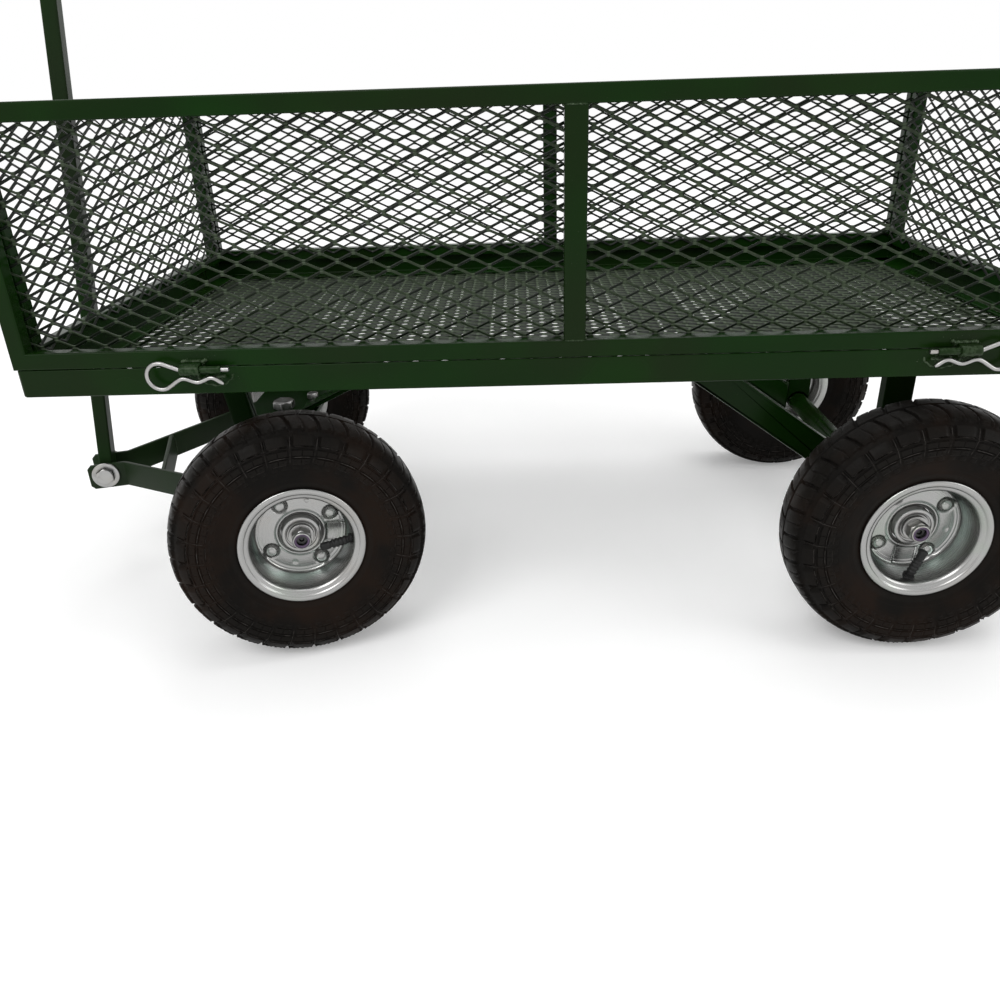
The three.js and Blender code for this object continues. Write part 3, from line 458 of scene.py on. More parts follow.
def bolt_head(flats, low, high, axis="z", sides=72):
    """A hexagon head with a chamfered top: a turned profile cut to the hexagon's flats."""
    r, tall = flats / 2, high - low
    cone = [
        (0, low), (r * 1.02, low), (r * 1.2, low + tall * 0.08), (r * 1.2, high - tall * 0.24),
        (r * 1.1, high - tall * 0.13), (r, high - tall * 0.05), (r * 0.93, high), (r * 0.8, high), (0, high),
    ]
    return turned(cone, sides, flats, axis, closed=False)


def nut_ring(flats, bore, low, high, axis="z", sides=72):
    """A hexagon nut, chamfered at both ends, round its bore."""
    r, tall = flats / 2, high - low
    cone = [
        (bore, low + 0.5), (bore + 0.5, low), (r * 0.94, low), (r * 1.05, low + tall * 0.06),
        (r * 1.2, low + tall * 0.2), (r * 1.2, high - tall * 0.2), (r * 1.05, high - tall * 0.06),
        (r * 0.94, high), (bore + 0.5, high), (bore, high - 0.5),
    ]
    return turned(cone, sides, flats, axis)


def make_piece(name, shape, body, finishes, *nodes, crease=38, merge=True):
    """Puts a shape into a mesh with foreach_set, turns its faces outwards, marks its creases, and makes it
    ride on its body in place of the frame's nodes. Its slot is that of the first finish."""
    points = np.concatenate(shape.points) / 1000
    sides = np.concatenate([np.full(len(part), part.shape[1]) for part in shape.faces])
    corners = np.concatenate([part.ravel() for part in shape.faces])
    mesh = bpy.data.meshes.new(name)
    mesh.vertices.add(len(points))
    mesh.vertices.foreach_set("co", points.astype(np.float32).ravel())
    mesh.loops.add(len(corners))
    mesh.loops.foreach_set("vertex_index", corners.astype(np.int32))
    mesh.polygons.add(len(sides))
    mesh.polygons.foreach_set("loop_start", (np.cumsum(sides) - sides).astype(np.int32))
    mesh.polygons.foreach_set("material_index", np.concatenate(shape.finishes).astype(np.int32))
    mesh.update(calc_edges=True)
    trace = mesh.attributes.new("trace", "FLOAT", "POINT")
    trace.data.foreach_set("value", np.concatenate(shape.traces).astype(np.float32))
    cleaned = bmesh.new()
    cleaned.from_mesh(mesh)
    if merge:
        bmesh.ops.remove_doubles(cleaned, verts=cleaned.verts, dist=2e-6)
    bmesh.ops.recalc_face_normals(cleaned, faces=cleaned.faces)
    cleaned.to_mesh(mesh)
    cleaned.free()
    mesh.shade_smooth()
    mesh.set_sharp_from_angle(angle=math.radians(crease))
    for key in finishes:
        mesh.materials.append(finish_of(key))
    piece = bpy.data.objects.new(name, mesh)
    bpy.context.scene.collection.objects.link(piece)
    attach(piece, body)
    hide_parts(*nodes)
    return piece


# ---------------------------------------------------------------- finishes


class Signal:
    """One socket of a node tree, on which +, - and * add Math nodes."""

    def __init__(self, nodes, socket):
        self.nodes, self.socket = nodes, socket

    def maths(self, operation, first, second):
        """A Math node on two signals or numbers."""
        return self.nodes.node("ShaderNodeMath", {"operation": operation}, {0: first, 1: second})

    def __add__(self, other):
        return self.maths("ADD", self, other)

    def __sub__(self, other):
        return self.maths("SUBTRACT", self, other)

    def __rsub__(self, other):
        return self.maths("SUBTRACT", other, self)

    def __mul__(self, other):
        return self.maths("MULTIPLY", self, other)

    __radd__ = __add__
    __rmul__ = __mul__


class Nodes:
    """A node tree, and the nodes that the cart's finishes use."""

    def __init__(self, tree):
        self.tree = tree
        self.tree.nodes.clear()

    def node(self, kind, settings=None, values=None, output=0):
        """Adds a node: its settings first, then its sockets' values or links."""
        made = self.tree.nodes.new(kind)
        for key, setting in (settings or {}).items():
            setattr(made, key, setting)
        for key, value in (values or {}).items():
            self.feed(made.inputs[key], value)
        return Signal(self, made.outputs[output])

    def feed(self, socket, value):
        """Links a signal to a socket, or sets the socket's own value."""
        if isinstance(value, Signal):
            self.tree.links.new(value.socket, socket)
        elif socket.type == "RGBA":
            socket.default_value = (*value, 1.0)
        else:
            socket.default_value = value

    def ramp(self, signal, low, high, start=0.0, end=1.0):
        """Maps a signal from between low and high to between start and end, with a smooth step."""
        settings = {"interpolation_type": "SMOOTHSTEP", "clamp": True}
        values = {"Value": signal, "From Min": low, "From Max": high, "To Min": start, "To Max": end}
        return self.node("ShaderNodeMapRange", settings, values)

    def seen_directly(self):
        """1 for camera, glossy and transmission rays, 0 for the rest."""
        camera = self.node("ShaderNodeLightPath", output="Is Camera Ray")
        outputs = camera.socket.node.outputs
        others = [Signal(self, outputs[key]) for key in ("Is Glossy Ray", "Is Transmission Ray")]
        rays = camera + others[0] + others[1]
        return rays.maths("MINIMUM", rays, 1.0)


class Finish(Nodes):
    """A material on a Principled surface, and the nodes that vary it."""

    def __init__(self, name):
        self.material = bpy.data.materials.new(name)
        self.material.use_nodes = True
        super().__init__(self.material.node_tree)
        self.output = self.tree.nodes.new("ShaderNodeOutputMaterial")
        self.surface = self.node("ShaderNodeBsdfPrincipled")
        self.feed(self.output.inputs["Surface"], self.surface)
        self.place = self.node("ShaderNodeTexCoord", output="Object")

    def noise(self, scale, detail=3.0, roughness=0.55, place=None):
        """Noise over the surface, or over another place."""
        values = {"Vector": place or self.place, "Scale": scale, "Detail": detail, "Roughness": roughness}
        return self.node("ShaderNodeTexNoise", values=values)

    def mix(self, share, first, second):
        """Mixes two colours by a share."""
        return self.node("ShaderNodeMix", {"data_type": "RGBA"}, {0: share, 6: first, 7: second}, 2)

    def trace(self):
        """The number per point that a shape carries."""
        return self.node("ShaderNodeAttribute", {"attribute_name": "trace"}, output="Fac")

    def bump(self, height, distance, strength=1.0, **under):
        """A bump of a height in metres, over the Normal that is given, if any."""
        values = {"Height": height, "Distance": distance, "Strength": strength, **under}
        return self.node("ShaderNodeBump", values=values)

    def set(self, **sockets):
        """Sets or links the surface's sockets, named with underscores for spaces."""
        for key, value in sockets.items():
            self.feed(self.surface.socket.node.inputs[key.replace("_", " ")], value)
        return self.material


def tinted(base, factors, lift=0.0):
    """A colour times one factor or three, plus a lift."""
    return tuple(np.array(base) * factors + lift)


def enamel_finish(name, colours, base, warm, roughness=0.20, specular=0.080):
    """Dark enamel: broad patches of a warmer green, soft clouds of a stronger green, a fine orange-peel
    ripple, a soft waviness that breaks up reflections, tiny specks of dust in the coat, and a paler
    mottle where the trace is up: over weld metal, where it is partly a painted highlight, and on the
    hinge sleeves and lug tubes, where it is a painted highlight."""
    finish = Finish(name)
    broad = finish.noise(4.2, 2.0)
    cloud = finish.noise(11.0, 2.0)
    paint = finish.mix(finish.ramp(broad, 0.34, 0.70), base, warm)
    paint = finish.mix(finish.ramp(cloud, 0.40, 0.80, 0.0, 0.60), paint, tinted(base, (1.2, 1.6, 0.9)))
    dust = finish.ramp(finish.noise(900.0, 1.0), 0.74, 0.79, 0.0, 0.30)
    paint = finish.mix(dust, paint, (0.06, 0.08, 0.05))
    # Painted highlight: where the trace is up, the enamel mixes towards the paler weld colour.
    welds_and_highlights = finish.trace() * finish.ramp(finish.noise(330.0, 2.0), 0.42, 0.62, 0.25, 1.0)
    paint = finish.mix(welds_and_highlights, paint, tuple(colours.weld_enamel_and_highlight))
    peel = finish.bump(finish.noise(420.0, 2.0), 0.00010, 0.30)
    wave = finish.bump(finish.noise(26.0, 2.0), 0.0014, 0.16, Normal=peel)
    gloss = finish.ramp(cloud, 0.3, 0.8, roughness, roughness + 0.12)
    return finish.set(Base_Color=paint, Roughness=gloss, Normal=wave, Specular_IOR_Level=specular)


def strand_finish(name, base, lit, warm):
    """Enamel on expanded mesh, with painted light. The trace is 0 on strands that rise along the sheet,
    which keep the dark base, 0.5 on those that fall, which get a painted glint of paler enamel, and 1 on
    the nodes between them, which get a paler painted highlight. On the undersides the trace falls below
    0 and the colour is a darker painted shade."""
    finish = Finish(name)
    trace, broad, fine = finish.trace(), finish.noise(6.0, 3.0), finish.noise(210.0, 3.0)
    # Painted glint: the falling strands, whose trace is 0.5, mix to the paler colour.
    falling = finish.ramp(trace, 0.05, 0.45) * finish.ramp(fine, 0.25, 0.65, 0.35, 1.0)
    paint = finish.mix(finish.ramp(broad, 0.45, 0.62), base, tinted(warm, 0.55))
    paint = finish.mix(falling, paint, lit)
    # Painted highlight: the nodes, whose trace is 1, mix to a paler colour still.
    paint = finish.mix(finish.ramp(trace, 0.65, 0.95, 0.0, 0.6), paint, tinted(lit, 1.5, 0.01))
    # Painted shade: where the trace falls below 0, on the undersides, the colour darkens to a fifth.
    paint = finish.mix(finish.ramp(trace, -0.15, -0.75, 0.0, 0.9), paint, tinted(base, 0.2))
    gloss = finish.ramp(fine, 0.3, 0.8, 0.30, 0.48)
    peel = finish.bump(fine, 0.00010, 0.35)
    return finish.set(Base_Color=paint, Roughness=gloss, Normal=peel, Specular_IOR_Level=0.14)


def zinc_finish(name, base, roughness=0.33):
    """Bright zinc plate: a metal with faint patches of yellow and blue passivation, soft dull spots, a
    fine grain in its gloss, and a dark edge tint, which dims what it reflects at a slant."""
    finish = Finish(name)
    tint, dull = finish.noise(40.0, 2.0), finish.noise(120.0, 2.0)
    plate = finish.mix(finish.ramp(tint, 0.50, 0.75, 0.0, 0.40), base, tinted(base, (1.0, 0.95, 0.84)))
    plate = finish.mix(finish.ramp(tint, 0.46, 0.25, 0.0, 0.45), plate, tinted(base, (0.84, 0.90, 0.95)))
    plate = finish.mix(finish.ramp(dull, 0.58, 0.78, 0.0, 0.3), plate, tinted(base, 0.6))
    gloss = finish.ramp(dull, 0.3, 0.8, roughness - 0.04, roughness + 0.12)
    grain = finish.bump(finish.noise(900.0, 2.0), 0.00004, 0.25)
    return finish.set(
        Base_Color=plate, Metallic=1.0, Roughness=gloss, Normal=grain, Specular_Tint=(0.02, 0.02, 0.02)
    )


def rim_finish(name, base):
    """Zinc plate on spun and pressed steel: fine rings that follow the trace along the rim's profile,
    with faint yellow and blue passivation in broad patches, a painted reflection on the well's wall,
    paler and blue-green, and a dark edge tint."""
    finish = Finish(name)
    rings = finish.node("ShaderNodeCombineXYZ", values={0: finish.trace() * 0.9})
    spun, tint = finish.noise(1.0, 6.0, 0.75, rings), finish.noise(22.0, 3.0)
    plate = finish.mix(finish.ramp(tint, 0.5, 0.7, 0.0, 0.6), base, tinted(base, (0.90, 1.0, 0.89)))
    plate = finish.mix(finish.ramp(tint, 0.45, 0.3, 0.0, 0.5), plate, tinted(base, (1.0, 0.96, 0.92)))
    plate = finish.mix(finish.ramp(spun, 0.5, 0.8, 0.0, 0.25), plate, tinted(base, 0.75))
    # Painted reflection: the well's wall, found from the trace, mixes to a paler blue-green.
    well = finish.ramp(finish.trace(), 31.0, 50.0) * finish.ramp(finish.trace(), 52.0, 54.0, 1.0, 0.0)
    painted_well_reflection = finish.mix(finish.ramp(tint, 0.38, 0.62), (0.560, 0.590, 0.580), (0.620, 0.760, 0.700))
    plate = finish.mix(well * 0.9, plate, painted_well_reflection)
    gloss = finish.ramp(spun, 0.25, 0.8, 0.20, 0.36)
    grain = finish.bump(finish.noise(500.0, 2.0), 0.00005, 0.2)
    spun_rings = finish.bump(spun, 0.00006, 0.22, Normal=grain)
    return finish.set(
        Base_Color=plate, Metallic=1.0, Roughness=gloss, Normal=spun_rings, Specular_Tint=(0.25, 0.25, 0.25)
    )


def rubber_finish(name, base, dust, ridge_highlight):
    """Tyre rubber: a brownish bloom in broad patches, lighter and glossier tops where the trace is 1 and
    the tread stands proud, pale ridges where it is 2, which are a painted highlight, and a fine grain."""
    finish = Finish(name)
    broad, fine, speck = finish.noise(14.0, 4.0), finish.noise(260.0, 4.0), finish.noise(95.0, 5.0, 0.7)
    proud = finish.ramp(finish.trace(), 0.55, 0.95)
    # Painted highlight: the ridges, where the trace is 2, mix to the pale ridge colour.
    painted_glint = finish.ramp(finish.trace(), 1.2, 1.9) * finish.ramp(speck, 0.38, 0.6)
    rubber = finish.mix(finish.ramp(broad, 0.42, 0.66, 0.0, 0.7), base, dust)
    rubber = finish.mix(finish.ramp(speck, 0.52, 0.72, 0.0, 0.5), rubber, tinted(base, 1.9))
    rubber = finish.mix(proud * 0.35, rubber, tinted(base, 1.9))
    rubber = finish.mix(painted_glint, rubber, ridge_highlight)
    gloss = finish.ramp(speck, 0.3, 0.7, 0.36, 0.60) - proud * 0.12
    grain = finish.bump(fine, 0.00018, 0.45)
    return finish.set(Base_Color=rubber, Roughness=gloss, Specular_IOR_Level=0.035, Normal=grain)


def moulded_finish(name, base, roughness):
    """Moulded rubber or plastic: a fine grain, and a faint mottle in colour and gloss."""
    finish = Finish(name)
    mottle = finish.noise(90.0, 3.0)
    shade = finish.mix(finish.ramp(mottle, 0.4, 0.8, 0.0, 0.6), base, tinted(base, 1.9, 0.003))
    gloss = finish.ramp(mottle, 0.3, 0.8, roughness, roughness + 0.15)
    peel = finish.bump(finish.noise(1400.0, 2.0), 0.0001, 0.4)
    return finish.set(Base_Color=shade, Roughness=gloss, Specular_IOR_Level=0.25, Normal=peel)


# The material slot of each finish that a piece can have first.
FINISHES = {}


def finish_of(key):
    """The finish of that name, made once from the cart's colours. Supports, drawbar and stem have enamel
    of their own, duller than the frame's: the supports' is darker, a painted shade, and the drawbar's and
    the stem's are paler and greyer, a painted reflection."""
    c = bpy.context.scene.cart_colours
    green, olive = tuple(c.enamel), tuple(c.enamel_olive)

    def enamel(name, *settings):
        return enamel_finish(name, c, *settings)

    makers = {
        "enamel": lambda: enamel("green_enamel", green, olive),
        # Painted shade: a darker, duller copy of the frame's enamel for the axle supports.
        "under": lambda: enamel("under_enamel_painted_shade", tinted(green, 0.8), tinted(olive, 0.6), 0.34, 0.02),
        # Painted reflection: the drawbar's enamel is lifted paler and greyer.
        "arm": lambda: enamel("arm_enamel_painted_reflection", tinted(green, 0.75, 0.008), tinted(olive, 1.0, 0.014), 0.34),
        # Painted reflection: the stem's enamel is lifted paler and greyer, while its own gloss is low.
        "stem": lambda: enamel("stem_enamel_painted_reflection", tinted(green, 1, 0.006), tinted(olive, 1, 0.010), 0.34, 0.02),
        "mesh": lambda: strand_finish("mesh_enamel", tuple(c.mesh_enamel), tuple(c.mesh_painted_glint), olive),
        "zinc": lambda: zinc_finish("bright_zinc", tuple(c.zinc)),
        # Painted shade: near-black steel on the shafts' cut ends.
        "steel": lambda: zinc_finish("shaft_end_painted_shade", tuple(c.steel), 0.36),
        "rim": lambda: rim_finish("rim_zinc", tuple(c.rim)),
        "tyre": lambda: rubber_finish("tyre_rubber", tuple(c.tyre), tuple(c.tyre_dust), tuple(c.tyre_ridge_highlight)),
        "valve": lambda: moulded_finish("valve_rubber", tuple(c.valve), 0.45),
        "collar": lambda: moulded_finish("nut_collar", tuple(c.collar), 0.35),
        "grip": lambda: moulded_finish("grip_plastic", tuple(c.grip), 0.45),
    }
    if key not in FINISHES:
        FINISHES[key] = makers[key]()
    return FINISHES[key]


# ---------------------------------------------------------------- base frame and deck


class Side:
    """What one side of the tray is made from, in millimetres. Its pieces are drawn as seen from the left,
    and its place turns them to their side."""

    def __init__(self, t, name):
        self.is_long = name in ("left", "right")
        base = (t.base_half_length, t.base_half_width)
        self.base_half, self.base_face = base if self.is_long else base[::-1]
        self.panel_half = t.side_panel_half if self.is_long else t.end_panel_half
        self.panel_face = t.base_half_width if self.is_long else t.end_panel_face
        self.hinge = t.side_hinge if self.is_long else t.end_hinge
        self.hinge_axis = self.panel_face + t.hinge_out
        self.place = shifted(x=tray_middle()) @ turned_by("Z", SIDE_TURNS[name])


def base_angle(t, side):
    """One length of the base's steel angle with its lugs. A point of the L section lies p inside the
    outer face; towards an end it runs to the mitre at x = half - R + (R - p) f(a) for a from 0 to 45
    degrees, with f = sin and depth R - (R - p) cos a inside the corner radius R, and f = tan beyond."""
    mitre_gap = 0.12
    half, corner, leg, wall = side.base_half - mitre_gap, t.angle_corner, t.angle_leg, t.angle_wall
    outline = [(0, 0), (leg, 0), (leg, wall), (wall, wall), (wall, leg), (0, leg)]
    section = rounded(outline, [1.8, 1.0, 1.0, 1.6, 1.0, 1.0], 3, 0.3)
    inward, height = section[:, 0], section[:, 1] + t.base_bottom
    a = np.radians(np.linspace(0, 45, 6))[:, None]
    inside = inward < corner
    reach = half - corner + (corner - inward) * np.where(inside, np.sin(a), np.tan(a))
    depth = np.where(inside, corner - (corner - inward) * np.cos(a), inward + 0 * a)
    x = np.concatenate([-reach[::-1], reach])
    depth = np.concatenate([depth[::-1], depth])
    shape = Shape().add(capped(laid(x, depth - side.base_face, height, "z")))
    for sign in (-1, 1):
        shape.join(base_lug(t, side, sign))
    return shape


def base_lug(t, side, sign):
    """A lug of the base: a short bored tube on a web, with its weld beads, a run of weld metal that sagged
    below it, r (1 + ripple) along an arc of 200 degrees, and a few drops of spatter."""
    face, axis, top = side.base_face, side.hinge_axis, t.base_bottom + t.angle_leg
    x0, x1 = side.hinge - t.lug_length, side.hinge - CLEARANCE
    # The lug tube's trace of 0.3 paints a highlight on it: paler enamel.
    made = Shape().add(turned(box_outline(PIN_BORE, 3.2, x0, x1, 0.25, 2), 20, axis="x"), trace=0.3)
    made.move(shifted(y=-axis, z=top))
    made.add(bar(x0 + 0.2, x1 - 0.2, 1.6 - axis, 0.6 - face, top - 3.2, top - 0.5, "x", 0.5, 0.4))
    middle = (x0 + x1) / 2
    made.seam(weld((x0 - 2.5, -face, top - 3.8), (x1 + 2.0, -face, top - 3.8), 2.1, Y_AXIS, 3))
    made.seam(weld((x0 + 1, -face - 1.2, top - 3.4), (x1 - 1, -face - 1.2, top - 3.4), 1.3, Y_AXIS, 5, 3.1))
    a = np.radians(np.linspace(170, 370, 48))
    wave = 0.9 * np.sin(7 * a) * np.cos(3.3 * a)
    sagged = np.stack([middle + 15.5 * np.cos(a), -face + 0 * a, top - 8.0 + 8.5 * np.sin(a) + wave], 1)
    made.seam(tube(sagged, 0.85 + 0.3 * np.sin(11 * a) * np.sin(5 * a), Y_AXIS))
    made.seam(weld((x0 - 1, 0.9 - face, top - 8.5), (x1 + 3, 0.9 - face, top - 10.5), 1.7, Y_AXIS, 6, 5.0))
    made.seam(spatter((middle, -face, top - 9), (11, 0.10, 4.2), 34, 1.0, 11))
    made.seam(spatter((x1 + 8, -face, top - 11), (3, 0.05, 2.0), 8, 1.2, 13))
    return made.move(MIRROR_X) if sign < 0 else made


def strand_sheet(half_u, half_v, m, strand, sheet, tilt, seed, sides=6):
    """Expanded mesh as rows of slit strands. Strand j runs along u with its middle at
    v = v_j + e + g at even nodes and v_j + S/2 - e - g at odd ones, where e is half a strand, S the short
    pitch, and g = slope * max(|u - u_k| - node, 0) rises from each node at u_k = k L/2. Its section has
    six sides, or five with one edge beneath, and is tilted about u. The sheet bulges by a sum of sines
    that fades towards its edges. Returns points as (u, v, out) with their faces, and the trace: 1 at a
    node, 0 where the strand rises beside it and 0.5 where it falls, less up to 1 on its underside. The
    strands' finish paints from it a highlight on the nodes, a glint on the falling strands and shade on
    the undersides."""
    bulge, fade_length, lap = 0.12, 60, 0.22
    long_half, short_half = m.pitch_long / 2, m.pitch_short / 2
    rows = int(2 * half_v / short_half)
    steps = int((2 * half_u - 2 * m.node * 1.6) / long_half)
    tilt = math.radians(tilt)
    e = strand / 2 * math.cos(tilt) - lap
    slope = (short_half - 2 * e) / (long_half - 2 * m.node)
    offsets = np.array([-1.5, -0.6, 0.6, 1.5]) * m.node
    gain = slope * np.maximum(np.abs(offsets) - m.node, 0)
    j, k = np.arange(rows)[:, None, None], np.arange(steps + 1)[None, :, None]
    chance = np.random.default_rng(seed)
    low_node = (j + k) % 2 == 0
    u = (k - steps / 2) * long_half + offsets + 0 * j
    v = (j - rows / 2) * short_half + np.where(low_node, e + gain, short_half - e - gain)
    v = v + chance.normal(0, 0.10, (rows, 1, 1)) + chance.normal(0, 0.09, (1, steps + 1, 1))
    u = u + chance.normal(0, 0.16, (1, steps + 1, 1))
    falling = (offsets > 0) != low_node
    trace = np.where(np.abs(offsets) < m.node, 1.0, np.where(falling, 0.5, 0.0))
    fade = 1.0
    for half, place in ((half_u, u), (half_v, v)):
        fade = fade * np.clip((half - np.abs(place)) / fade_length, 0, 1)
    out = bulge * fade * (np.sin(u / 61 + 1.3) * np.cos(v / 83 - 0.4) + 0.5 * np.sin(u / 27 - v / 35))
    path = np.stack([u, v, out], -1).reshape(rows, -1, 3)
    w, s, c = strand / 2, sheet / 2, 0.42
    beneath = [(0, -s)] if sides == 5 else [(c - w, -s), (w - c, -s)]
    section = np.array([(w, 0), (w - c, s), (c - w, s), (-w, 0), *beneath])
    across = section[:, 0] * math.cos(tilt) - section[:, 1] * math.sin(tilt)
    through = section[:, 0] * math.sin(tilt) + section[:, 1] * math.cos(tilt)
    points = path[:, :, None] + np.stack([0 * across, across, through], -1)
    # The undersides' lower trace paints shade on them in the strands' finish.
    under = np.array([0.0, 0.0, 0.0, -0.6, -1.0, -0.6])[:sides]
    return repeated(points), ((trace + 0 * u).reshape(-1, 1) + under).ravel()


def laid_sheet(sheet, order, signs=(1, 1, 1)):
    """A shape of a sheet, with its (u, v, out) points put in the order of X, Y and Z."""
    (points, faces), trace = sheet
    return Shape().add((points[:, order] * np.array(signs), faces), trace=trace)


# ---------------------------------------------------------------- panels and clips


def mitred_loop(half, low, high, section):
    """Carries a section round a rectangle with mitred corners: a section point (inward, through) lies at
    x = +-(half - inward) and z = low + inward or high - inward."""
    inward, through = section[:, 0], section[:, 1]
    x = (half - inward) * np.array([-1.0, 1, 1, -1])[:, None]
    z = np.stack([low + inward, low + inward, high - inward, high - inward])
    points = np.stack([x, np.broadcast_to(through, x.shape), z], -1)
    return points, [grid_faces(4, len(section), True, True)]


def panel_tubes(t, side):
    """A panel's square tubes, mitred at the corners, with its hinge sleeves and, on a long side, its middle
    post. It is drawn as seen from outside, with its outer face at y = -face."""
    half, face, w = side.panel_half, side.panel_face, t.panel_tube
    low, high = t.panel_bottom, t.panel_top
    section = box_outline(0, w, -face, w - face, t.tube_corner, 4, 0.6)
    shape = Shape().add(mitred_loop(half, low, high, section))

    def inner_corners(x):
        return [(-x, low + w), (x, low + w), (-x, high - w), (x, high - w)]

    for seed, (x, z) in enumerate(inner_corners(half - w), 20):
        toward = np.array([-np.sign(x), 0, 1 if z < (low + high) / 2 else -1])
        start = np.array([x, 0.9 - face, z]) - toward * 0.6
        shape.seam(weld(start, start - toward * (w * 0.9), 0.55, Y_AXIS, seed, 2.6))
    if side.is_long:
        p, set_back = t.middle_post / 2, 0.25
        outline = box_outline(-p, p, set_back - face, w - set_back - face, 2.2, 4, 0.6)
        shape.add(prism(outline, low + w - 1.5, high - w + 1.5, "z", 0.3))
        for seed, (x, z) in enumerate(inner_corners(p), 30):
            shape.seam(weld((x, 2.5 - face, z), (x, w - face - 2.5, z), 1.5, X_AXIS, seed))
        for z in (low + w, high - w):
            shape.seam(weld((1 - p, 0.5 - face, z), (p - 1, 0.5 - face, z), 0.8, Y_AXIS, 40, 2.8))
    for sign in (-1, 1):
        shape.join(panel_sleeve(t, side, sign))
    return shape


def panel_sleeve(t, side, sign):
    """A panel's hinge sleeve on its web, with a weld bead along the rail."""
    face, axis, z = side.panel_face, side.hinge_axis, t.panel_bottom - CLEARANCE
    x0, x1 = side.hinge, side.hinge + t.sleeve_length
    # The sleeve's trace of 0.5 paints a highlight on it: paler enamel.
    made = Shape().add(turned(box_outline(PIN_BORE, 4.7, x0, x1, 0.4, 3), 28, axis="x"), trace=0.5)
    made.move(shifted(y=-axis, z=z))
    made.add(bar(x0 + 0.2, x1 - 0.2, 2.8 - axis, 0.8 - face, z + 0.4, z + 4.9, "x", 0.8, 0.4))
    made.seam(weld((x0 - 1.5, -face, z + 5.4), (x1 + 1.5, -face, z + 5.4), 1.7, Y_AXIS, 7))
    made.seam(weld((x0 - 5.0, -face, z + 7.5), (x0 + 2.5, -face, z + 2.5), 2.3, Y_AXIS, 8, 4.0))
    made.seam(spatter((x0 + 4, -face, z + 9), (8, 0.05, 2.2), 10, 0.6, 17))
    return made.move(MIRROR_X) if sign < 0 else made


def hairpin(t):
    """A hairpin clip as a wire carried along a smooth path: the straight pin, three quarters of a round
    loop, x = r cos a + x0 and z = r sin a + z0, and a leg that waves below the hinge. The wire thins at its
    two ends."""
    reach, loop_radius, loop_x, loop_z, wire = t.sleeve_length + t.lug_length, 11.8, -18.6, -5.2, 1.9
    along = [reach + 7, reach + 6.2, reach * 0.7, reach * 0.35, 3, 0.6, -0.6]
    pin = np.stack([along, [0, 0, 0, 0, 0, 0, 0.35]], 1)
    a = np.radians([64, 77, 90, 112, 135, 157, 180, 202, 225, 247, 270, 290, 310])
    loop = np.stack([loop_radius * np.cos(a) + loop_x, loop_radius * np.sin(a) + loop_z], 1)
    leg = np.array([(1, -7.7), (14, -11.2), (27.0, -7.4), (36.5, -13.2)])
    line = smooth_path(np.concatenate([pin, loop, leg]), 7)
    radius = np.full(len(line), wire)
    radius[[0, -1]] = 1.0
    radius[[1, -2]] = 1.6
    return Shape().add(tube(laid(line[:, 0], line[:, 1], 0.0, "y"), radius, Y_AXIS, 14))


# ---------------------------------------------------------------- wheels

# The tyre's outline from the middle of the tread to the bead: (radius, outwards), on a tyre of 130.
TYRE_PROFILE = np.array([
    (130, 0), (129.8, 8), (129.2, 15), (127.8, 21), (125.8, 26), (122.4, 31), (117.4, 36), (110.5, 39.7),
    (102.5, 41), (94, 40.2), (86, 38.1), (78, 35.4), (71, 32.8), (66.2, 30.9),
])
# Inside of the tyre, from its bead back to its middle.
TYRE_INSIDE = np.array([
    (64.9, 30.0), (58, 29.8), (55.6, 28.5), (55.6, 20), (80, 25), (98, 31), (110, 29), (119, 20), (120, 0),
])
# Where the surface has points: along the outline from the middle of the tread, and in half a pitch.
OUTLINE_MARKS = [
    0.0, 1.0, 1.9, 5, 8.6, 9.4, 14, 19, 24, 27.4, 28.5, 30, 33, 34.7, 35.3, 38, 41, 44, 45.7, 46.3, 46.9, 47.5,
    48.2, 48.8, 49.4, 50.05, 50.6, 53, 55.7, 56.3, 56.8, 57.2, 57.8, 58.2, 58.95, 59.5, 60.9, 61.5, 62.5, 63.1,
    64.3, 64.9, 65.7, 66.3, 68, 70.1, 70.7, 72.3, 73.8, 76.5, 79.8, 81.2, 82.2, 82.6, 83.2, 83.6, 86, 87.6,
    88.4, 91.5,
]
OUTLINE_END = 96.0
PITCH_MARKS = np.array([0.0, 0.02, 0.04, 0.065, 0.10, 0.145, 0.22, 0.30, 0.40, 0.425, 0.455, 0.485])
# Rows of the tread beyond its shoulder blocks: how high each stands, where it lies along the outline, what
# it repeats with round the wheel, and where it lies in that. Places are from, to and the slope's length.
TREAD_ROWS = (
    (2.2, (35.0, 46.0, 0.5), "pitch", (0.12, 0.88, 0.03)),
    (1.2, (35.2, 45.6, 0.5), "pitch", (0.025, 0.05, 0.02)),
    (1.2, (35.2, 45.6, 0.5), "pitch", (0.95, 0.975, 0.02)),
    (1.2, (50.3, 56.0, 0.45), "split pitch", (0.08, 0.92, 0.04)),
    (0.9, (57.0, 58.0, 0.35), "ring", None),
    (1.3, (59.2, 64.6, 0.45), "split pitch", (0.10, 0.90, 0.04)),
    (-0.8, (61.2, 62.8, 0.4), "half pitch", (0.42, 0.58, 0.05)),
    (0.7, (66.0, 70.4, 0.45), "half pitch", (0.2, 0.8, 0.05)),
    (0.4, (82.4, 83.4, 0.4), "ring", None),
    (0.5, (88.0, 95.0, 0.8), "ring", None),
)
# Painted highlights on ridges round the tread: how strong each is, where along the outline, and where in a
# pitch.
PAINTED_RIDGE_HIGHLIGHTS = (
    (1.0, (46.1, 47.1, 0.4), (0.16, 0.84, 0.05)),
    (0.85, (56.9, 58.1, 0.4), (0.10, 0.90, 0.05)),
    (0.9, (65.1, 66.2, 0.4), (0.12, 0.88, 0.05)),
)


def step(x, low, high, soft=0.35):
    """1 between low and high and 0 outside, with straight ramps of the given length at both ends."""
    return np.clip((x - low) / soft + 0.5, 0, 1) * np.clip((high - x) / soft + 0.5, 0, 1)


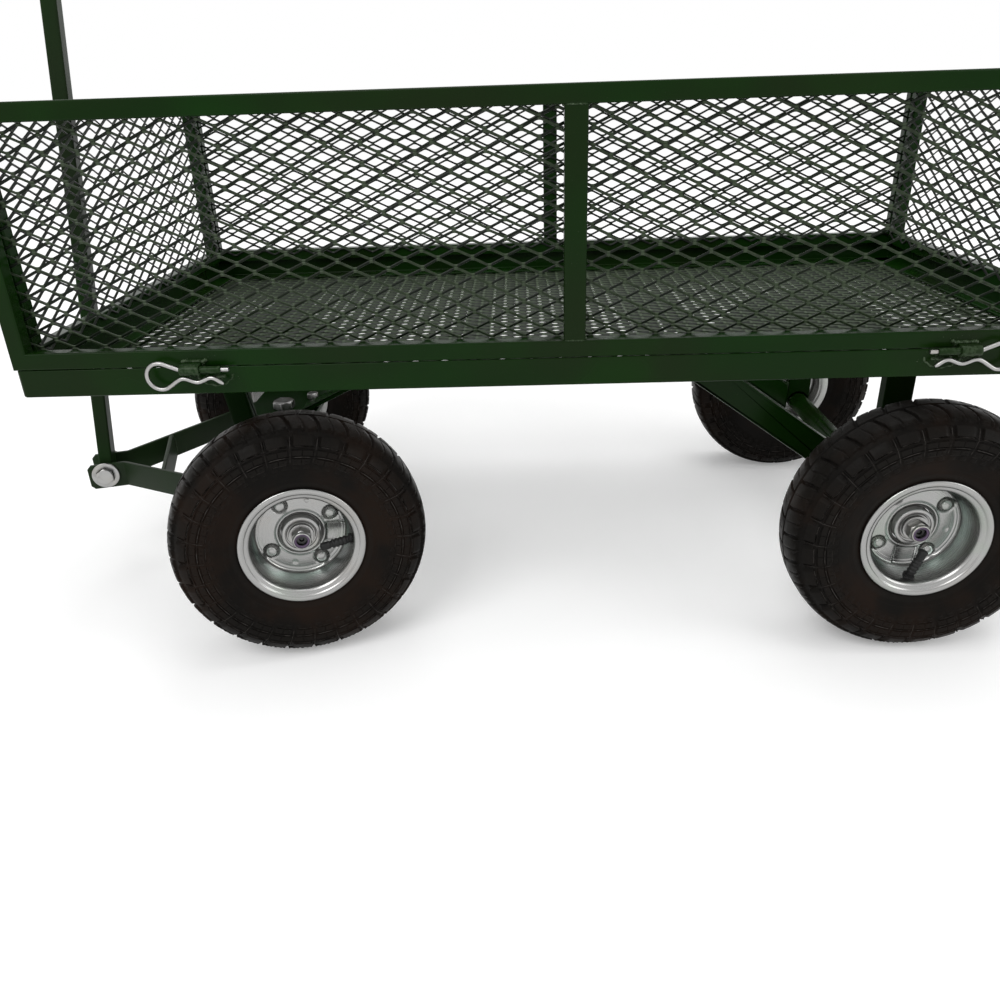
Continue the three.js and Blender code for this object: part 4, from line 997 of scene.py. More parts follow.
def tread_height(u, s, w):
    """How far the tyre's surface stands above the bottom of its grooves. u is the place within one pitch
    of the pattern and s the distance from the middle of the tread along the outline. The rows are products
    of steps in u and s: shoulder blocks with a toothed edge and a fine cut, the rows of the table, a ring
    that waves once per pitch, and fine radial fins on the wall."""
    across = np.abs(s)
    v = (u + np.where(s < 0, 0.5, 0.0)) % 1.0
    leant = (v + 0.05 * np.cos(np.clip(across / 28, 0, 1) * np.pi)) % 1.0
    teeth = 0.8 * np.cos(2 * np.pi * 6 * v)
    block = step(leant, 0.05, 0.95, 0.03) * step(across, 1.2, 28.0 + teeth, 0.9)
    cut = 1 - 0.45 * step(leant, 0.485, 0.515, 0.02) * step(across, 6.0, 28.5, 0.8)
    height = w.tread_depth * block * cut
    split = 1 - 0.6 * step(v, 0.485, 0.515, 0.02)
    repeats = {"pitch": (v, 1.0), "split pitch": (v, split), "half pitch": ((2 * v) % 1.0, 1.0)}
    for rise, span, repeat, within in TREAD_ROWS:
        row = rise * step(across, *span)
        if repeat in repeats:
            place, share = repeats[repeat]
            row = row * share * step(place, *within)
        height = height + row
    wave = 0.35 * np.cos(2 * np.pi * v)
    height = height + step(across, 47.3 + wave, 49.0 + wave, 0.4)
    fins = 0.5 + 0.5 * np.cos(2 * np.pi * 6 * v)
    return height + 0.14 * fins * step(across, 73.0, 80.5, 1.2)


def painted_ridge_highlights(place, span):
    """Painted highlight on the tread's ridges, 0 to 1: rings broken at the grooves, and a bar across them."""
    painted_glint = sum(share * step(span, *on) * step(place, *within) for share, on, within in PAINTED_RIDGE_HIGHLIGHTS)
    bars = 0.9 * step((place + 0.5) % 1.0, 0.485, 0.525, 0.02) * step(span, 35.0, 64.0, 0.8)
    return np.minimum(painted_glint + bars, 1)


def tyre_surface(w, seed):
    """The tyre as a grid wrapped both ways: each row runs round the wheel and each column runs over the
    outline from bead to bead and back inside. The outline's point at distance s moves out along its
    normal by the tread's height less the depth of its grooves."""
    fine = smooth_path(TYRE_PROFILE * (w.tyre_radius / TYRE_PROFILE[0, 0], 1), 12)
    run = length_along(fine)
    marks = np.array([*OUTLINE_MARKS, min(run[-1], OUTLINE_END)])
    s = np.concatenate([-marks[:0:-1], marks])
    radius = np.interp(np.abs(s), run, fine[:, 0])
    out = np.interp(np.abs(s), run, fine[:, 1]) * np.sign(s)
    tangent = np.stack([np.gradient(radius), np.gradient(out)], 1)
    tangent /= np.linalg.norm(tangent, axis=1, keepdims=True)
    count = w.group.tread_pitches
    pitch = np.concatenate([PITCH_MARKS, PITCH_MARKS + 0.5])
    turn = (np.arange(count)[:, None] + pitch[None, :]).ravel()
    u, across = np.meshgrid(turn, s, indexing="ij")
    span = np.abs(across)
    lean = 0.10 * np.sin(np.clip((span - 4) / 60, 0, 1) * np.pi)
    height = tread_height(u % 1.0, across, w)
    groove = w.tread_depth * np.clip((50.0 - span) / 16, 0, 1)
    groove = groove + 1.4 * np.clip((span - 34) / 8, 0, 1) * np.clip((72 - span) / 4, 0, 1)
    lift = np.minimum(height - np.minimum(groove, w.tread_depth), 0.0)
    chance = np.random.default_rng(seed)
    lift = np.minimum(lift + chance.normal(0, 0.04, lift.shape) * np.clip((60 - span) / 20, 0, 1), 0.0)
    inside = np.concatenate([TYRE_INSIDE, TYRE_INSIDE[-2::-1] * (1, -1)])
    within = np.zeros((len(turn), len(inside)))
    r = np.concatenate([radius + tangent[:, 1] * lift, inside[:, 0] + within], 1)
    y = np.concatenate([out - tangent[:, 0] * lift, inside[:, 1] + within], 1)
    angle = np.concatenate([u + lean, turn[:, None] + within], 1) / count * 2 * np.pi
    proud = np.clip(1 + lift / 2.0, 0, 1) * (height > 0.2)
    # A trace of 2 marks the painted highlight on the ridges.
    proud = np.maximum(proud, 2 * painted_ridge_highlights(u % 1.0, span))
    points = laid(r * np.cos(angle), r * np.sin(angle), y, "y")
    faces = [grid_faces(len(turn), points.shape[1], True, True)]
    return Shape().add((points, faces), trace=np.concatenate([proud, within], 1))


def round_axle(radius, degrees):
    """The X and Z of points on circles about the axle."""
    return radius * np.cos(np.radians(degrees)), radius * np.sin(np.radians(degrees))


def rim_profile(w):
    """The rim's profile of (radius, outwards): its outer flange, the well's wall and the disc's edge, the
    disc, the raised ring round the hub, the back of the disc and of the well, and the inner flange."""
    rim, face = w.rim_radius, w.rim_half_width
    flange = [
        (53.4, 26.6), (62.8, 30.0), (rim - 0.1, 30.3), (rim, 31.2), (63.6, 32.2), (62.8, 32.8), (61.8, face),
        (60.4, 32.9), (59.2, 32.6), (58.2, 32.2), (57.6, 31.6), (57.1, 31.0), (56.4, 30.7), (55.2, 30.5),
        (54.2, 30.1), (53.3, 29.5), (52.5, 28.7), (51.8, 27.6), (51.3, 26.2),
    ]
    wall = [
        (50.9, 24.4), (50.5, 22.0), (49.8, 17.0), (48.9, 11.0), (48.2, 6.0), (47.5, 2.0), (46.7, -0.4),
        (45.5, -1.6), (44.8, -2.0), (44.2, -1.8), (43.5, -1.8), (42.9, -2.3), (42.2, -2.5),
    ]
    disc = [(radius, -2.5) for radius in np.arange(41.2, 27.9, -1.0)]
    ring = [
        (26.6, -2.3), (26.0, -1.6), (25.3, -0.7), (24.5, -0.4), (23.6, -0.7), (23.0, -1.5), (22.4, -2.6),
        (21.6, -3.0), (20.9, -3.2), (20.4, -3.6), (20.4, -5.4),
    ]
    back = [(28, -5.4), (44, -5.4), (47.0, -5.6), (50.0, -7.0), (51.0, -10.0), (51.0, -20.0)]
    inner_flange = [
        (53.4, -31), (53.4, -29.6), (rim - 0.2, -29.6), (rim, -30.6), (rim, -32.2), (rim - 0.9, -face),
        (52.3, -face), (51, -32), (51, -31),
    ]
    return np.array([*flange, *wall, *disc, *ring, *back, *inner_flange], float)


def rim_surface(w, valve_at):
    """The rim turned from its profile, with round recesses for the bolts, two small dimples and a pressed
    pocket behind the valve: over the disc the surface sinks by each mark's depth times a step of the
    distance from the mark's middle."""
    profile, sides = rim_profile(w), 240
    radius, along = np.repeat(profile[:, :1], sides, 1), np.repeat(profile[:, 1:], sides, 1)
    x, z = round_axle(radius, np.arange(sides) * 360 / sides)
    disc = (along > -3.4) & (along < 0.0) & (radius < 47.0) & (radius > 22.6)
    bolts_at = valve_at + 8.5
    bolts = [round_axle(w.bolt_circle, 45 + 90 * k + bolts_at) for k in range(4)]
    recesses = [(*bolt, 7.9, 2.2) for bolt in bolts]
    dimples = [(*round_axle(36.0, degrees + bolts_at), 2.2, 0.9) for degrees in (90, 270)]
    sink = np.zeros_like(x)
    for middle_x, middle_z, size_of_mark, deep in recesses + dimples:
        far = np.hypot(x - middle_x, z - middle_z) / size_of_mark
        sink = np.maximum(sink, deep * np.clip((1.12 - far) / 0.24, 0, 1))
    unit_x, unit_z = round_axle(1.0, valve_at)
    ahead, aside = x * unit_x + z * unit_z, z * unit_x - x * unit_z
    pocket = np.clip((12.0 - np.abs(aside)) / 2.2, 0, 1) * np.clip((ahead - 25.5) / 2.0, 0, 1)
    sink = np.maximum(sink, 2.2 * pocket)
    skin = laid(x, z, along - sink * disc, "y"), [grid_faces(len(profile), sides, True, True)]
    shape = Shape().add(skin, trace=np.repeat(length_along(profile), sides))
    head = [(0, 0.9), (2.0, 0.85), (4.2, 0.4), (5.4, -0.6), (6.0, -1.8), (6.1, -4.6), (0, -4.6)]
    for middle_x, middle_z in bolts:
        bolt = Shape().add(turned(head, 28, axis="y", closed=False), trace=200.0)
        shape.join(bolt, shifted(middle_x, 0, middle_z))
    return shape


def hub_surface(w):
    """The hub's tube with its stepped outer end: a ring turned about the axle."""
    bore, r, back = w.axle_radius + CLEARANCE, w.hub_radius - 0.1, -38
    profile = [
        (r, back + 0.4), (r, 3.2), (r - 0.6, 4.2), (r - 1.5, 4.6), (r - 3.3, 4.4), (r - 3.7, 3.0),
        (r - 5.0, 2.6), (r - 5.7, 4.0), (bore, 4.2), (bore, back), (r - 0.5, back),
    ]
    return Shape().add(turned(profile, 64, axis="y"), trace=300.0)


def valve_surface(degrees, bend):
    """A ribbed rubber valve: a circle carried from its foot on the rim towards the hub, its radius
    4.5 + 0.4 cos(2 pi s / 4.2), with a wide collar at the foot, a narrow neck, and a finely ribbed cap with
    a rounded tip, which is bent to one side."""
    start, end = np.array([51.8, 14.5, 0.0]), np.array([18.4, 19.6, 7.6 * bend])
    t = np.linspace(0, 1, 64)
    length = np.linalg.norm(end - start)
    ribs, fine_ribs = np.cos(2 * np.pi * t * length / 4.2), np.cos(2 * np.pi * t * length / 1.5)
    parts = [t < 0.10, t < 0.15, t > 0.70, t > 0.64]
    radius = np.select(parts, [6.0, 4.0, 4.2 + 0.18 * fine_ribs, 3.5], 4.5 + 0.40 * ribs)
    radius = radius * np.sqrt(np.clip((1.0 - t) / 0.035, 0.05, 1))
    normal = np.cross((end - start) / length, Y_AXIS)
    normal /= np.linalg.norm(normal)
    shape = Shape().add(tube(start + (end - start) * t[:, None], radius, normal, 20))
    return shape.move(turned_by("Y", -degrees))


def nut_shape(w):
    """An axle's washer and hexagon nut with its locking collar."""
    bore = 6.3
    body = [
        (bore, 7.75), (10.2, 7.75), (11.2, 8.3), (12.0, 9.0), (12.0, 14.6), (11.4, 15.3), (10.6, 15.9),
        (9.9, 16.5), (9.4, 16.8), (9.28, 17.0), (9.25, 19.8), (8.9, 20.3), (8.4, 20.5), (8.0, 20.4),
        (7.8, 19.9), (7.8, 18.4), (bore, 18.3),
    ]
    locking_ring = rounded([(5.6, 17.9), (7.75, 17.9), (7.75, 20.1), (5.6, 19.6)], 0.5, 3)
    shape = Shape().add(turned(box_outline(bore, 13.0, 5.3, 7.7, 0.5, 3), 48, axis="y"))
    shape.add(turned(body, 72, w.nut_flats, "y"))
    return shape.add(turned(locking_ring, 48, axis="y"), finish=1)


def wheel_place(name):
    """The matrix of a wheel: its centre from its joint, its outer face at +y, turned with its axle."""
    axis = JOINTS["spin_" + name]["axis"]
    turn = math.degrees(math.atan2(-axis[0], axis[1])) + (180 if name.endswith("left") else 0)
    return shifted(*joint_place("spin_" + name)) @ turned_by("Z", turn)


def axle_shape(g, w):
    """A painted axle tube and, as a second shape, the plated shaft through it with its cut ends, both
    along Y. The cut ends' near-black steel is a painted shade of the recessed axle end."""
    r, half, shaft_r = g.axle_tube, g.axle_tube_half, w.axle_radius
    skin = [(0, -half), (r - 0.9, -half), (r, 0.9 - half), (r, 3 - half), (r, 0)]
    shaft = [(0, -251.0), (6, -251.0), (6, -244.2), (shaft_r - 0.6, -244), (shaft_r, -243.4), (shaft_r, 0)]
    cut = [(0, 252.6), (1.6, 252.8), (2.6, 254.9), (5.2, 255.0), (5.9, 254.3), (5.9, 250.5), (0, 250.5)]

    def both_ends(profile):
        return profile + [(radius, -along) for radius, along in profile[-2::-1]]

    painted = Shape().add(turned(both_ends(skin), 40, axis="y", closed=False))
    plated = Shape().add(turned(both_ends(shaft), 32, axis="y", closed=False))
    for sign in (-1, 1):
        plated.add(turned(np.array(cut) * (1, sign), 32, axis="y", closed=False), finish=1)
    return painted, plated


# ---------------------------------------------------------------- supports, drawbar and handle


def crossbar(g, x, top):
    """A flat bar across the tray, under its deck."""
    half, low = g.crossbar_width / 2, top - g.crossbar_depth
    return Shape().add(bar(x - half, x + half, -g.crossbar_half, g.crossbar_half, low, top, "y", 1.5, 0.8))


def rear_support(g, top):
    """A crossbar and two upright struts under it, notched over the axle, with their weld beads."""
    x, low, half = g.wheelbase_half, g.axle_height, g.crossbar_width / 2
    shape = crossbar(g, x, top)
    a = np.radians(np.linspace(0, 180, 13))
    r = g.axle_tube + CLEARANCE
    notch = np.stack([x - r * np.cos(a), low + r * np.sin(a)], 1)
    front_foot, rear_foot = (x - half, low + 0.2), (x + half, low + 0.2)
    outline = np.concatenate([[front_foot], notch, [rear_foot, (x + half, top - 7), (x - half, top - 7)]])
    for y in (-g.strut_place, g.strut_place):
        shape.add(prism(outline, y - g.strut_half, y + g.strut_half, "y", 1.3))
        for edge in (-1, 1):
            above, below = y + edge * g.strut_half, y + edge * (g.strut_half + 0.7)
            shape.seam(weld((x - half + 2, above, top - 8), (x + half - 2, above, top - 8), 2.0, Y_AXIS, 50))
            shape.seam(weld((x - 12, below, low + 5), (x + 12, below, low + 5), 1.9, Y_AXIS, 52, 3.0))
        shape.seam(spatter((x - half - 0.3, y, top - 14), (0.2, 6, 5), 14, 1.0, 60))
    return shape


def rear_stay(g, top, y):
    """A flat brace from a strut's foot up to the rear crossbar, cut off level at its top."""
    foot_x, foot_z = g.wheelbase_half - g.crossbar_width / 2 - CLEARANCE, g.axle_height + 7
    top_x, top_z, half = g.crossbar_place + 21, top - 8.3, 15
    angle = math.atan2(top_z - foot_z, foot_x - top_x)
    tall, wide = half / math.cos(angle), half / math.sin(angle)
    corners = [(foot_x, foot_z - tall), (foot_x, foot_z + tall), (top_x + wide, top_z), (top_x - wide, top_z)]
    outline = rounded(corners, 1.6, 3, 0.5)
    shape = Shape().add(prism(outline, y - g.strut_half, y + g.strut_half, "y", 1.8))
    return shape.seam(weld((foot_x, y - 6, foot_z + tall), (foot_x, y + 6, foot_z + tall), 1.8, X_AXIS, 54))


def front_support(g, top):
    """A crossbar, two splayed legs down to the king plate, and the plate, with their weld beads."""
    x, plate, half = -g.wheelbase_half, g.king_plate_top, g.leg_half
    shape = crossbar(g, x, top)

    def bead(sign, place, height, radius, seed):
        ends = [(x + end, sign * place, height) for end in (-11, 11)]
        shape.seam(weld(*ends, radius, Y_AXIS, seed))

    for sign in (-1, 1):
        upper, lower = top - 7, plate - 1
        corners = [
            (g.leg_top - half, upper), (g.leg_top + half, upper),
            (g.leg_foot + half, lower), (g.leg_foot - half, lower),
        ]
        outline = rounded(np.array(corners) * (sign, 1), 0.6, 2, 0.3)
        shape.add(prism(outline, x - g.leg_half_depth, x + g.leg_half_depth, "x", 1.6))
        bead(sign, g.leg_foot - 8.0, plate, 2.1, 70)
        bead(sign, g.leg_foot + 8.0, plate, 2.1, 71)
        bead(sign, g.leg_top - 7, top - 8, 1.9, 72)
    long, wide = g.plate_half_length, g.plate_half_width
    outline = box_outline(x - long, x + long, -wide, wide, 6, 5, 0.8)
    return shape.add(prism(outline, plate - g.plate_thickness, plate, "z", 0.8))


def front_stay(g, top):
    """A flat brace from the king plate back up to the front crossbar, cut off level at both ends."""
    foot_x, foot_z = 22.5 - g.wheelbase_half, g.king_plate_top + CLEARANCE
    top_x, top_z = -g.crossbar_place, top - 8.3
    wide = 5 / math.sin(math.atan2(top_z - foot_z, top_x - foot_x))
    corners = [(foot_x + wide, foot_z), (foot_x, foot_z), (top_x - wide, top_z), (top_x, top_z)]
    shape = Shape().add(prism(rounded(corners, 0.6, 2, 0.3), -15, 15, "y", 0.9))
    bead_x, bead_z = foot_x + wide + 1, foot_z + 0.6
    return shape.seam(weld((bead_x, -12, bead_z), (bead_x, 12, bead_z), 1.2, Z_AXIS, 74))


def steering_place():
    """The matrix of the swivelling axle: at the king bolt, turned as the handle's bolt is."""
    axis = JOINTS["handle_tilt"]["axis"]
    turn = math.degrees(math.atan2(axis[0], -axis[1]))
    return shifted(*(joint_place("steer") * (1, 1, 0))) @ turned_by("Z", turn)


def drawbar_shape(g):
    """Two flat bars on edge, straight beside the handle and splayed behind it, and the spreader plate. A
    bar's inner face lies at y = gap + splay max(0, x + bend), and its outer face a thickness further out,
    square to the splay. Its section's corners are arcs, and its nose is chamfered."""
    gap, bend, nose, splay, heel, thick = 15.85, 195.0, 238.5, 0.888, 12.8, g.arm_thickness
    skew = thick * math.hypot(1, splay)
    low, high = g.arm_middle - g.arm_height / 2, g.arm_middle + g.arm_height / 2
    shape = Shape()
    x = np.array([
        -nose, 1.3 - nose, 4 - nose, 9 - nose, -220, -bend - 6, -bend - 2, 2 - bend, 6 - bend, -150, -90,
        -heel - 6, -heel,
    ])
    chamfer = np.clip(4 - (x + nose), 0, 4)[:, None]
    inner = gap + np.maximum(0, x + bend) * splay
    inner[6:9] += np.array([0.0, 0.5, 0.0])
    outer = np.maximum(gap + thick, gap + (x + bend) * splay + skew)
    a = np.radians(np.arange(4) * 30.0)
    arc = 0.9 * (1 - np.stack([np.cos(a), np.sin(a)], 1))
    corners = [
        np.column_stack([np.full((4, 2), (far, up)), arc if far == up else arc[::-1]])
        for far, up in ((0, 0), (1, 0), (1, 1), (0, 1))
    ]
    far, up, inset, lift = np.concatenate(corners).T
    y = np.where(far == 0, inner[:, None] + inset, outer[:, None] - inset)
    z = np.where(up == 0, low + chamfer + lift, high - chamfer - lift)

    def inner_at(ahead):
        return gap + max(0.0, bend - ahead) * splay

    front, rear = 150.5, 145.5
    for sign in (-1, 1):
        shape.add(capped(laid(x[:, None], sign * y, z, "z")))
        end_x, end_y, rim = -heel - 1, sign * (inner_at(heel) + skew / 2), high - 0.5
        shape.seam(weld((end_x, end_y - 5, rim), (end_x, end_y + 5, rim), 2.2, X_AXIS, 80))
        for height in (low, high):
            shape.seam(weld((end_x - 1, end_y - 4, height), (end_x + 2, end_y + 4, height), 2.0, Z_AXIS, 81))
        for ahead, seed in ((front, 82), (rear, 83)):
            y_bead = sign * (inner_at(ahead) - 0.5)
            shape.seam(weld((-ahead, y_bead, low + 2), (-ahead, y_bead, high - 2), 1.5, Y_AXIS, seed))
    plate = [
        (-front, -inner_at(front) - 1), (-front, inner_at(front) + 1),
        (-rear, inner_at(rear) + 1), (-rear, -inner_at(rear) - 1),
    ]
    return shape.add(prism(rounded(plate, 0.8, 3, 0.4), low, high, "z", 0.8))


def swivel_shape(g):
    """The swivel bracket: a plate under the king plate, and a cheek down each side of it to the axle."""
    top = g.king_plate_top - g.plate_thickness - CLEARANCE
    long, wide, thick = g.swivel_half_length, g.swivel_half_width, g.plate_thickness
    shape = Shape().add(prism(box_outline(-long, long, -wide, wide, 3, 4, 0.6), top - thick, top, "z", 0.8))
    cheek = box_outline(-30, 30, 110, top - 1, [9, 9, 1, 1], 5, 0.5)
    for sign in (-1, 1):
        y0, y1 = sorted((sign * (wide - thick), sign * wide))
        shape.add(prism(cheek, y0, y1, "y", 0.9))
        under, beside = sign * (wide - 6.4), sign * (wide - 6.6)
        shape.seam(weld((-28, under, top - 6.2), (28, under, top - 6.2), 2.0, Y_AXIS, 85))
        shape.seam(weld((-12, beside, g.axle_height + 6), (12, beside, g.axle_height + 6), 1.8, Y_AXIS, 86))
    return shape


def pivot_shapes():
    """The handle's bolt and its nut, each with its washer, along Y about the bolt's middle. The bolt's
    head is at -y."""
    face = 21.15
    washer = box_outline(5.4, 15.5, face, face + 2.4, 0.6, 3)
    shank = [(0, -face), (5, -face), (5, face + 11.4), (4.3, face + 12), (0, face + 12)]
    bolt = Shape().add(turned(shank, 24, axis="y", closed=False)).add(turned(washer * (1, -1), 56, axis="y"))
    bolt.join(Shape().add(bolt_head(18.6, face + 2.5, face + 8.9, "y")), MIRROR_Y)
    nut = Shape().add(turned(washer, 56, axis="y")).add(nut_ring(17, 5.3, face + 2.5, face + 8.9, "y"))
    return bolt, nut


def stem_tube(g):
    """The stem's rectangular tube, open at its foot: its outer wall carried up in rings whose first and
    last draw in a little, and its inner wall carried back up from the foot."""
    deep, wide, wall, top, foot = g.stem_half_depth, g.stem_half_width, g.stem_wall, g.stem_length, -12.0
    outer = box_outline(-deep, deep, -wide, wide, 2.2, 4, 0.6)
    inner = box_outline(wall - deep, deep - wall, wall - wide, wide - wall, 1.2, 4, 0.6)
    z = np.array([foot, foot + 0.6, foot + 2, 0, 200, 400, top - 1.6, top - 0.6])[:, None]
    draw = np.array([0.985, 1, 1, 1, 1, 1, 1, 0.985])[:, None]
    outside = laid(outer[:, 0] * draw, outer[:, 1] * draw, z, "z")
    inside = laid(inner[:, 0], inner[:, 1], np.array([[top + foot], [foot]]), "z")
    return capped(np.concatenate([inside, outside]))


def loop_tube(g):
    """The handle's loop as one bent tube: half its path goes from the stem's top out to the side, up and
    round a quarter circle to the middle of the grip, and the other half mirrors it."""
    half, foot, crown, c = g.loop_width / 2, g.stem_length - 3, g.stem_length + g.loop_height, g.loop_corner
    path = [(-0.4, foot), (-24, foot + 1.5), (-48, foot + 10), (-60, foot + 24), (-half, foot + 42)]
    a = np.radians([180, 157.5, 135.0, 112.5, 90])
    path += [*zip(c - half + c * np.cos(a), crown - c + c * np.sin(a)), (-8, crown)]
    line = smooth_path(path + [(-y, z) for y, z in path[::-1]], 6)
    return tube(laid(line[:, 0], line[:, 1], 0.0, "x"), 9.0, X_AXIS, 24)


def grip_surface(g):
    """A ribbed sleeve round the loop's crown: radius 13.2 + 0.5 cos(2 pi y / 6.2), with a plain collar at
    each end."""
    half = g.loop_width / 2 - g.loop_corner - 3
    y = np.linspace(-half, half, 70)
    ribs = np.where(np.abs(y) > half - 2.5, 13.9, 13.2 + 0.5 * np.cos(2 * np.pi * y / 6.2))
    ends = [(9.3, -half), (13.0, -half)], [(13.0, half), (9.3, half)]
    return turned(np.concatenate([ends[0], np.stack([ribs, y * 0.996], 1), ends[1]]), 40, axis="y")


def handle_place(g, t):
    """The matrix of the handle: at its bolt, leant back until its rear face meets the front panel's top
    corner, at an angle acos(half depth / distance) - atan(rise / run)."""
    lock = math.radians(STEERING_LOCK)
    beside = g.wheelbase_half - t.end_panel_face - 0.5 - g.stem_half_width * math.sin(lock)
    run, rise = beside / math.cos(lock) + g.pivot_ahead, t.panel_top - g.pivot_height
    lean = math.degrees(math.acos(g.stem_half_depth / math.hypot(run, rise)) - math.atan2(rise, run))
    return steering_place() @ shifted(-g.pivot_ahead, 0, g.pivot_height) @ turned_by("Y", lean)


# ---------------------------------------------------------------- operators


class CART_OT_base(bpy.types.Operator):
    """Make the four mitred angles of the base frame, with their hinge lugs"""

    bl_idname = "cart.base"
    bl_label = "Base Frame"

    def execute(self, context):
        t = Millimetres(context.scene.cart_tray)
        for name in SIDE_TURNS:
            side = Side(t, name)
            shape = base_angle(t, side).move(side.place)
            make_piece("base_angle_" + name, shape, "chassis", ("enamel",), "base_rail_" + name)
        return {"FINISHED"}


class CART_OT_deck(bpy.types.Operator):
    """Make the expanded mesh of the deck"""

    bl_idname = "cart.deck"
    bl_label = "Deck Mesh"

    def execute(self, context):
        t, m = Millimetres(context.scene.cart_tray), Millimetres(context.scene.cart_mesh)
        halves = t.base_half_length - m.deck_margin, t.base_half_width - m.deck_margin
        shape = laid_sheet(strand_sheet(*halves, m, m.deck_strand, m.deck_sheet, 28, 2, 5), [0, 1, 2])
        shape.move(shifted(x=tray_middle(), z=t.base_bottom - DECK_DROP))
        make_piece("deck_strands", shape, "chassis", ("mesh",), "deck_mesh", crease=30, merge=False)
        return {"FINISHED"}


class CART_OT_panels(bpy.types.Operator):
    """Make the tubes and the expanded mesh of the four panels"""

    bl_idname = "cart.panels"
    bl_label = "Panels"

    def execute(self, context):
        t, m = Millimetres(context.scene.cart_tray), Millimetres(context.scene.cart_mesh)
        middle = (t.panel_bottom + t.panel_top) / 2
        for seed, name in enumerate(SIDE_TURNS, 5):
            side, body = Side(t, name), BODIES_OF_SIDES[name]
            shape = panel_tubes(t, side).move(side.place)
            make_piece("panel_tubes_" + name, shape, body, ("enamel",), f"panel_{name}_frame")
            halves = side.panel_half - m.panel_margin, t.panel_top - middle - m.panel_margin
            mesh = laid_sheet(strand_sheet(*halves, m, m.strand, m.sheet, 24, seed), [0, 2, 1], (1, -1, 1))
            mesh.move(side.place @ shifted(y=t.panel_tube + 1.55 - side.panel_face, z=middle))
            node = f"panel_{name}_mesh"
            make_piece("panel_strands_" + name, mesh, body, ("mesh",), node, crease=30, merge=False)
        return {"FINISHED"}


class CART_OT_clips(bpy.types.Operator):
    """Make the eight hairpin clips"""

    bl_idname = "cart.clips"
    bl_label = "Hairpin Clips"

    def execute(self, context):
        t = Millimetres(context.scene.cart_tray)
        for name in SIDE_TURNS:
            side = Side(t, name)
            for key, sign, turn in (("a", -1, 0), ("b", 1, 180)):
                x = sign * (side.hinge + t.sleeve_length)
                at = shifted(x, -side.hinge_axis, t.base_bottom + t.angle_leg)
                shape, clip = hairpin(t).move(side.place @ at @ turned_by("Z", turn)), f"{name}_{key}"
                make_piece("hairpin_" + clip, shape, "pin_" + clip, ("zinc",), "clip_" + clip)
        return {"FINISHED"}


class CART_OT_bars(bpy.types.Operator):
    """Make the crossbars, the axle supports and their braces"""

    bl_idname = "cart.bars"
    bl_label = "Bars and Supports"

    def execute(self, context):
        t, g = Millimetres(context.scene.cart_tray), Millimetres(context.scene.cart_gear)
        top = t.base_bottom - CROSSBAR_DROP
        # The axle supports take the darker enamel, a painted shade.
        pieces = (
            ("cross_member_front", crossbar(g, -g.crossbar_place, top), "enamel", "crossbar_front"),
            ("cross_member_rear", crossbar(g, g.crossbar_place, top), "enamel", "crossbar_rear"),
            ("rear_support", rear_support(g, top), "under", "rear_axle_support"),
            ("rear_stay_left", rear_stay(g, top, -g.strut_place), "enamel", "rear_brace_left"),
            ("rear_stay_right", rear_stay(g, top, g.strut_place), "enamel", "rear_brace_right"),
            ("front_support", front_support(g, top), "under", "front_axle_support"),
            ("front_stay", front_stay(g, top), "enamel", "front_brace"),
        )
        for name, shape, finish, node in pieces:
            make_piece(name, shape.move(shifted(x=tray_middle())), "chassis", (finish,), node)
        return {"FINISHED"}


class CART_OT_bolts(bpy.types.Operator):
    """Make the king bolt and its nut, and the king plate's two bolts"""

    bl_idname = "cart.bolts"
    bl_label = "King Bolt and Plate Bolts"

    def execute(self, context):
        g = Millimetres(context.scene.cart_gear)
        place = shifted(x=tray_middle() - g.wheelbase_half)
        head, under = g.king_plate_top + CLEARANCE, g.king_plate_top - 2 * g.plate_thickness - CLEARANCE
        shank = [(0, under - 18), (7.2, under - 18), (8, under - 17.2), (8, head + 1), (0, head + 1)]
        shape = Shape().add(bolt_head(24, head, head + 10)).add(turned(shank, 32, closed=False))
        make_piece("king_pin", shape.move(place), "chassis", ("zinc",), "king_bolt")
        shape = Shape().add(nut_ring(24, 8.3, under - 13 - CLEARANCE, under - CLEARANCE))
        make_piece("king_pin_nut", shape.move(place), "chassis", ("zinc",), "king_nut")
        stem = [(0, head - 6.2), (4, head - 6.2), (4, head + 1), (0, head + 1)]
        for name, sign in (("left", -1), ("right", 1)):
            shape = Shape().add(bolt_head(13, head, head + 7, sides=48)).add(turned(stem, 20, closed=False))
            shape.move(place @ shifted(28.5, sign * 36, 0))
            make_piece("plate_bolt_" + name, shape, "chassis", ("zinc",), "king_plate_bolt_" + name)
        return {"FINISHED"}


class CART_OT_steering(bpy.types.Operator):
    """Make the swivel bracket, the drawbar and the handle's bolt"""

    bl_idname = "cart.steering"
    bl_label = "Swivel and Drawbar"

    def execute(self, context):
        g = Millimetres(context.scene.cart_gear)
        place = steering_place()
        make_piece("drawbar_arms", drawbar_shape(g).move(place), "steering", ("arm",), "drawbar")
        make_piece("swivel_saddle", swivel_shape(g).move(place), "steering", ("enamel",), "swivel_bracket")
        at = place @ shifted(-g.pivot_ahead, 0, g.pivot_height)
        bolt, nut = pivot_shapes()
        make_piece("handle_pivot_bolt", bolt.move(at), "steering", ("zinc",), "handle_bolt")
        make_piece("handle_pivot_nut", nut.move(at), "steering", ("zinc",), "handle_nut")
        return {"FINISHED"}


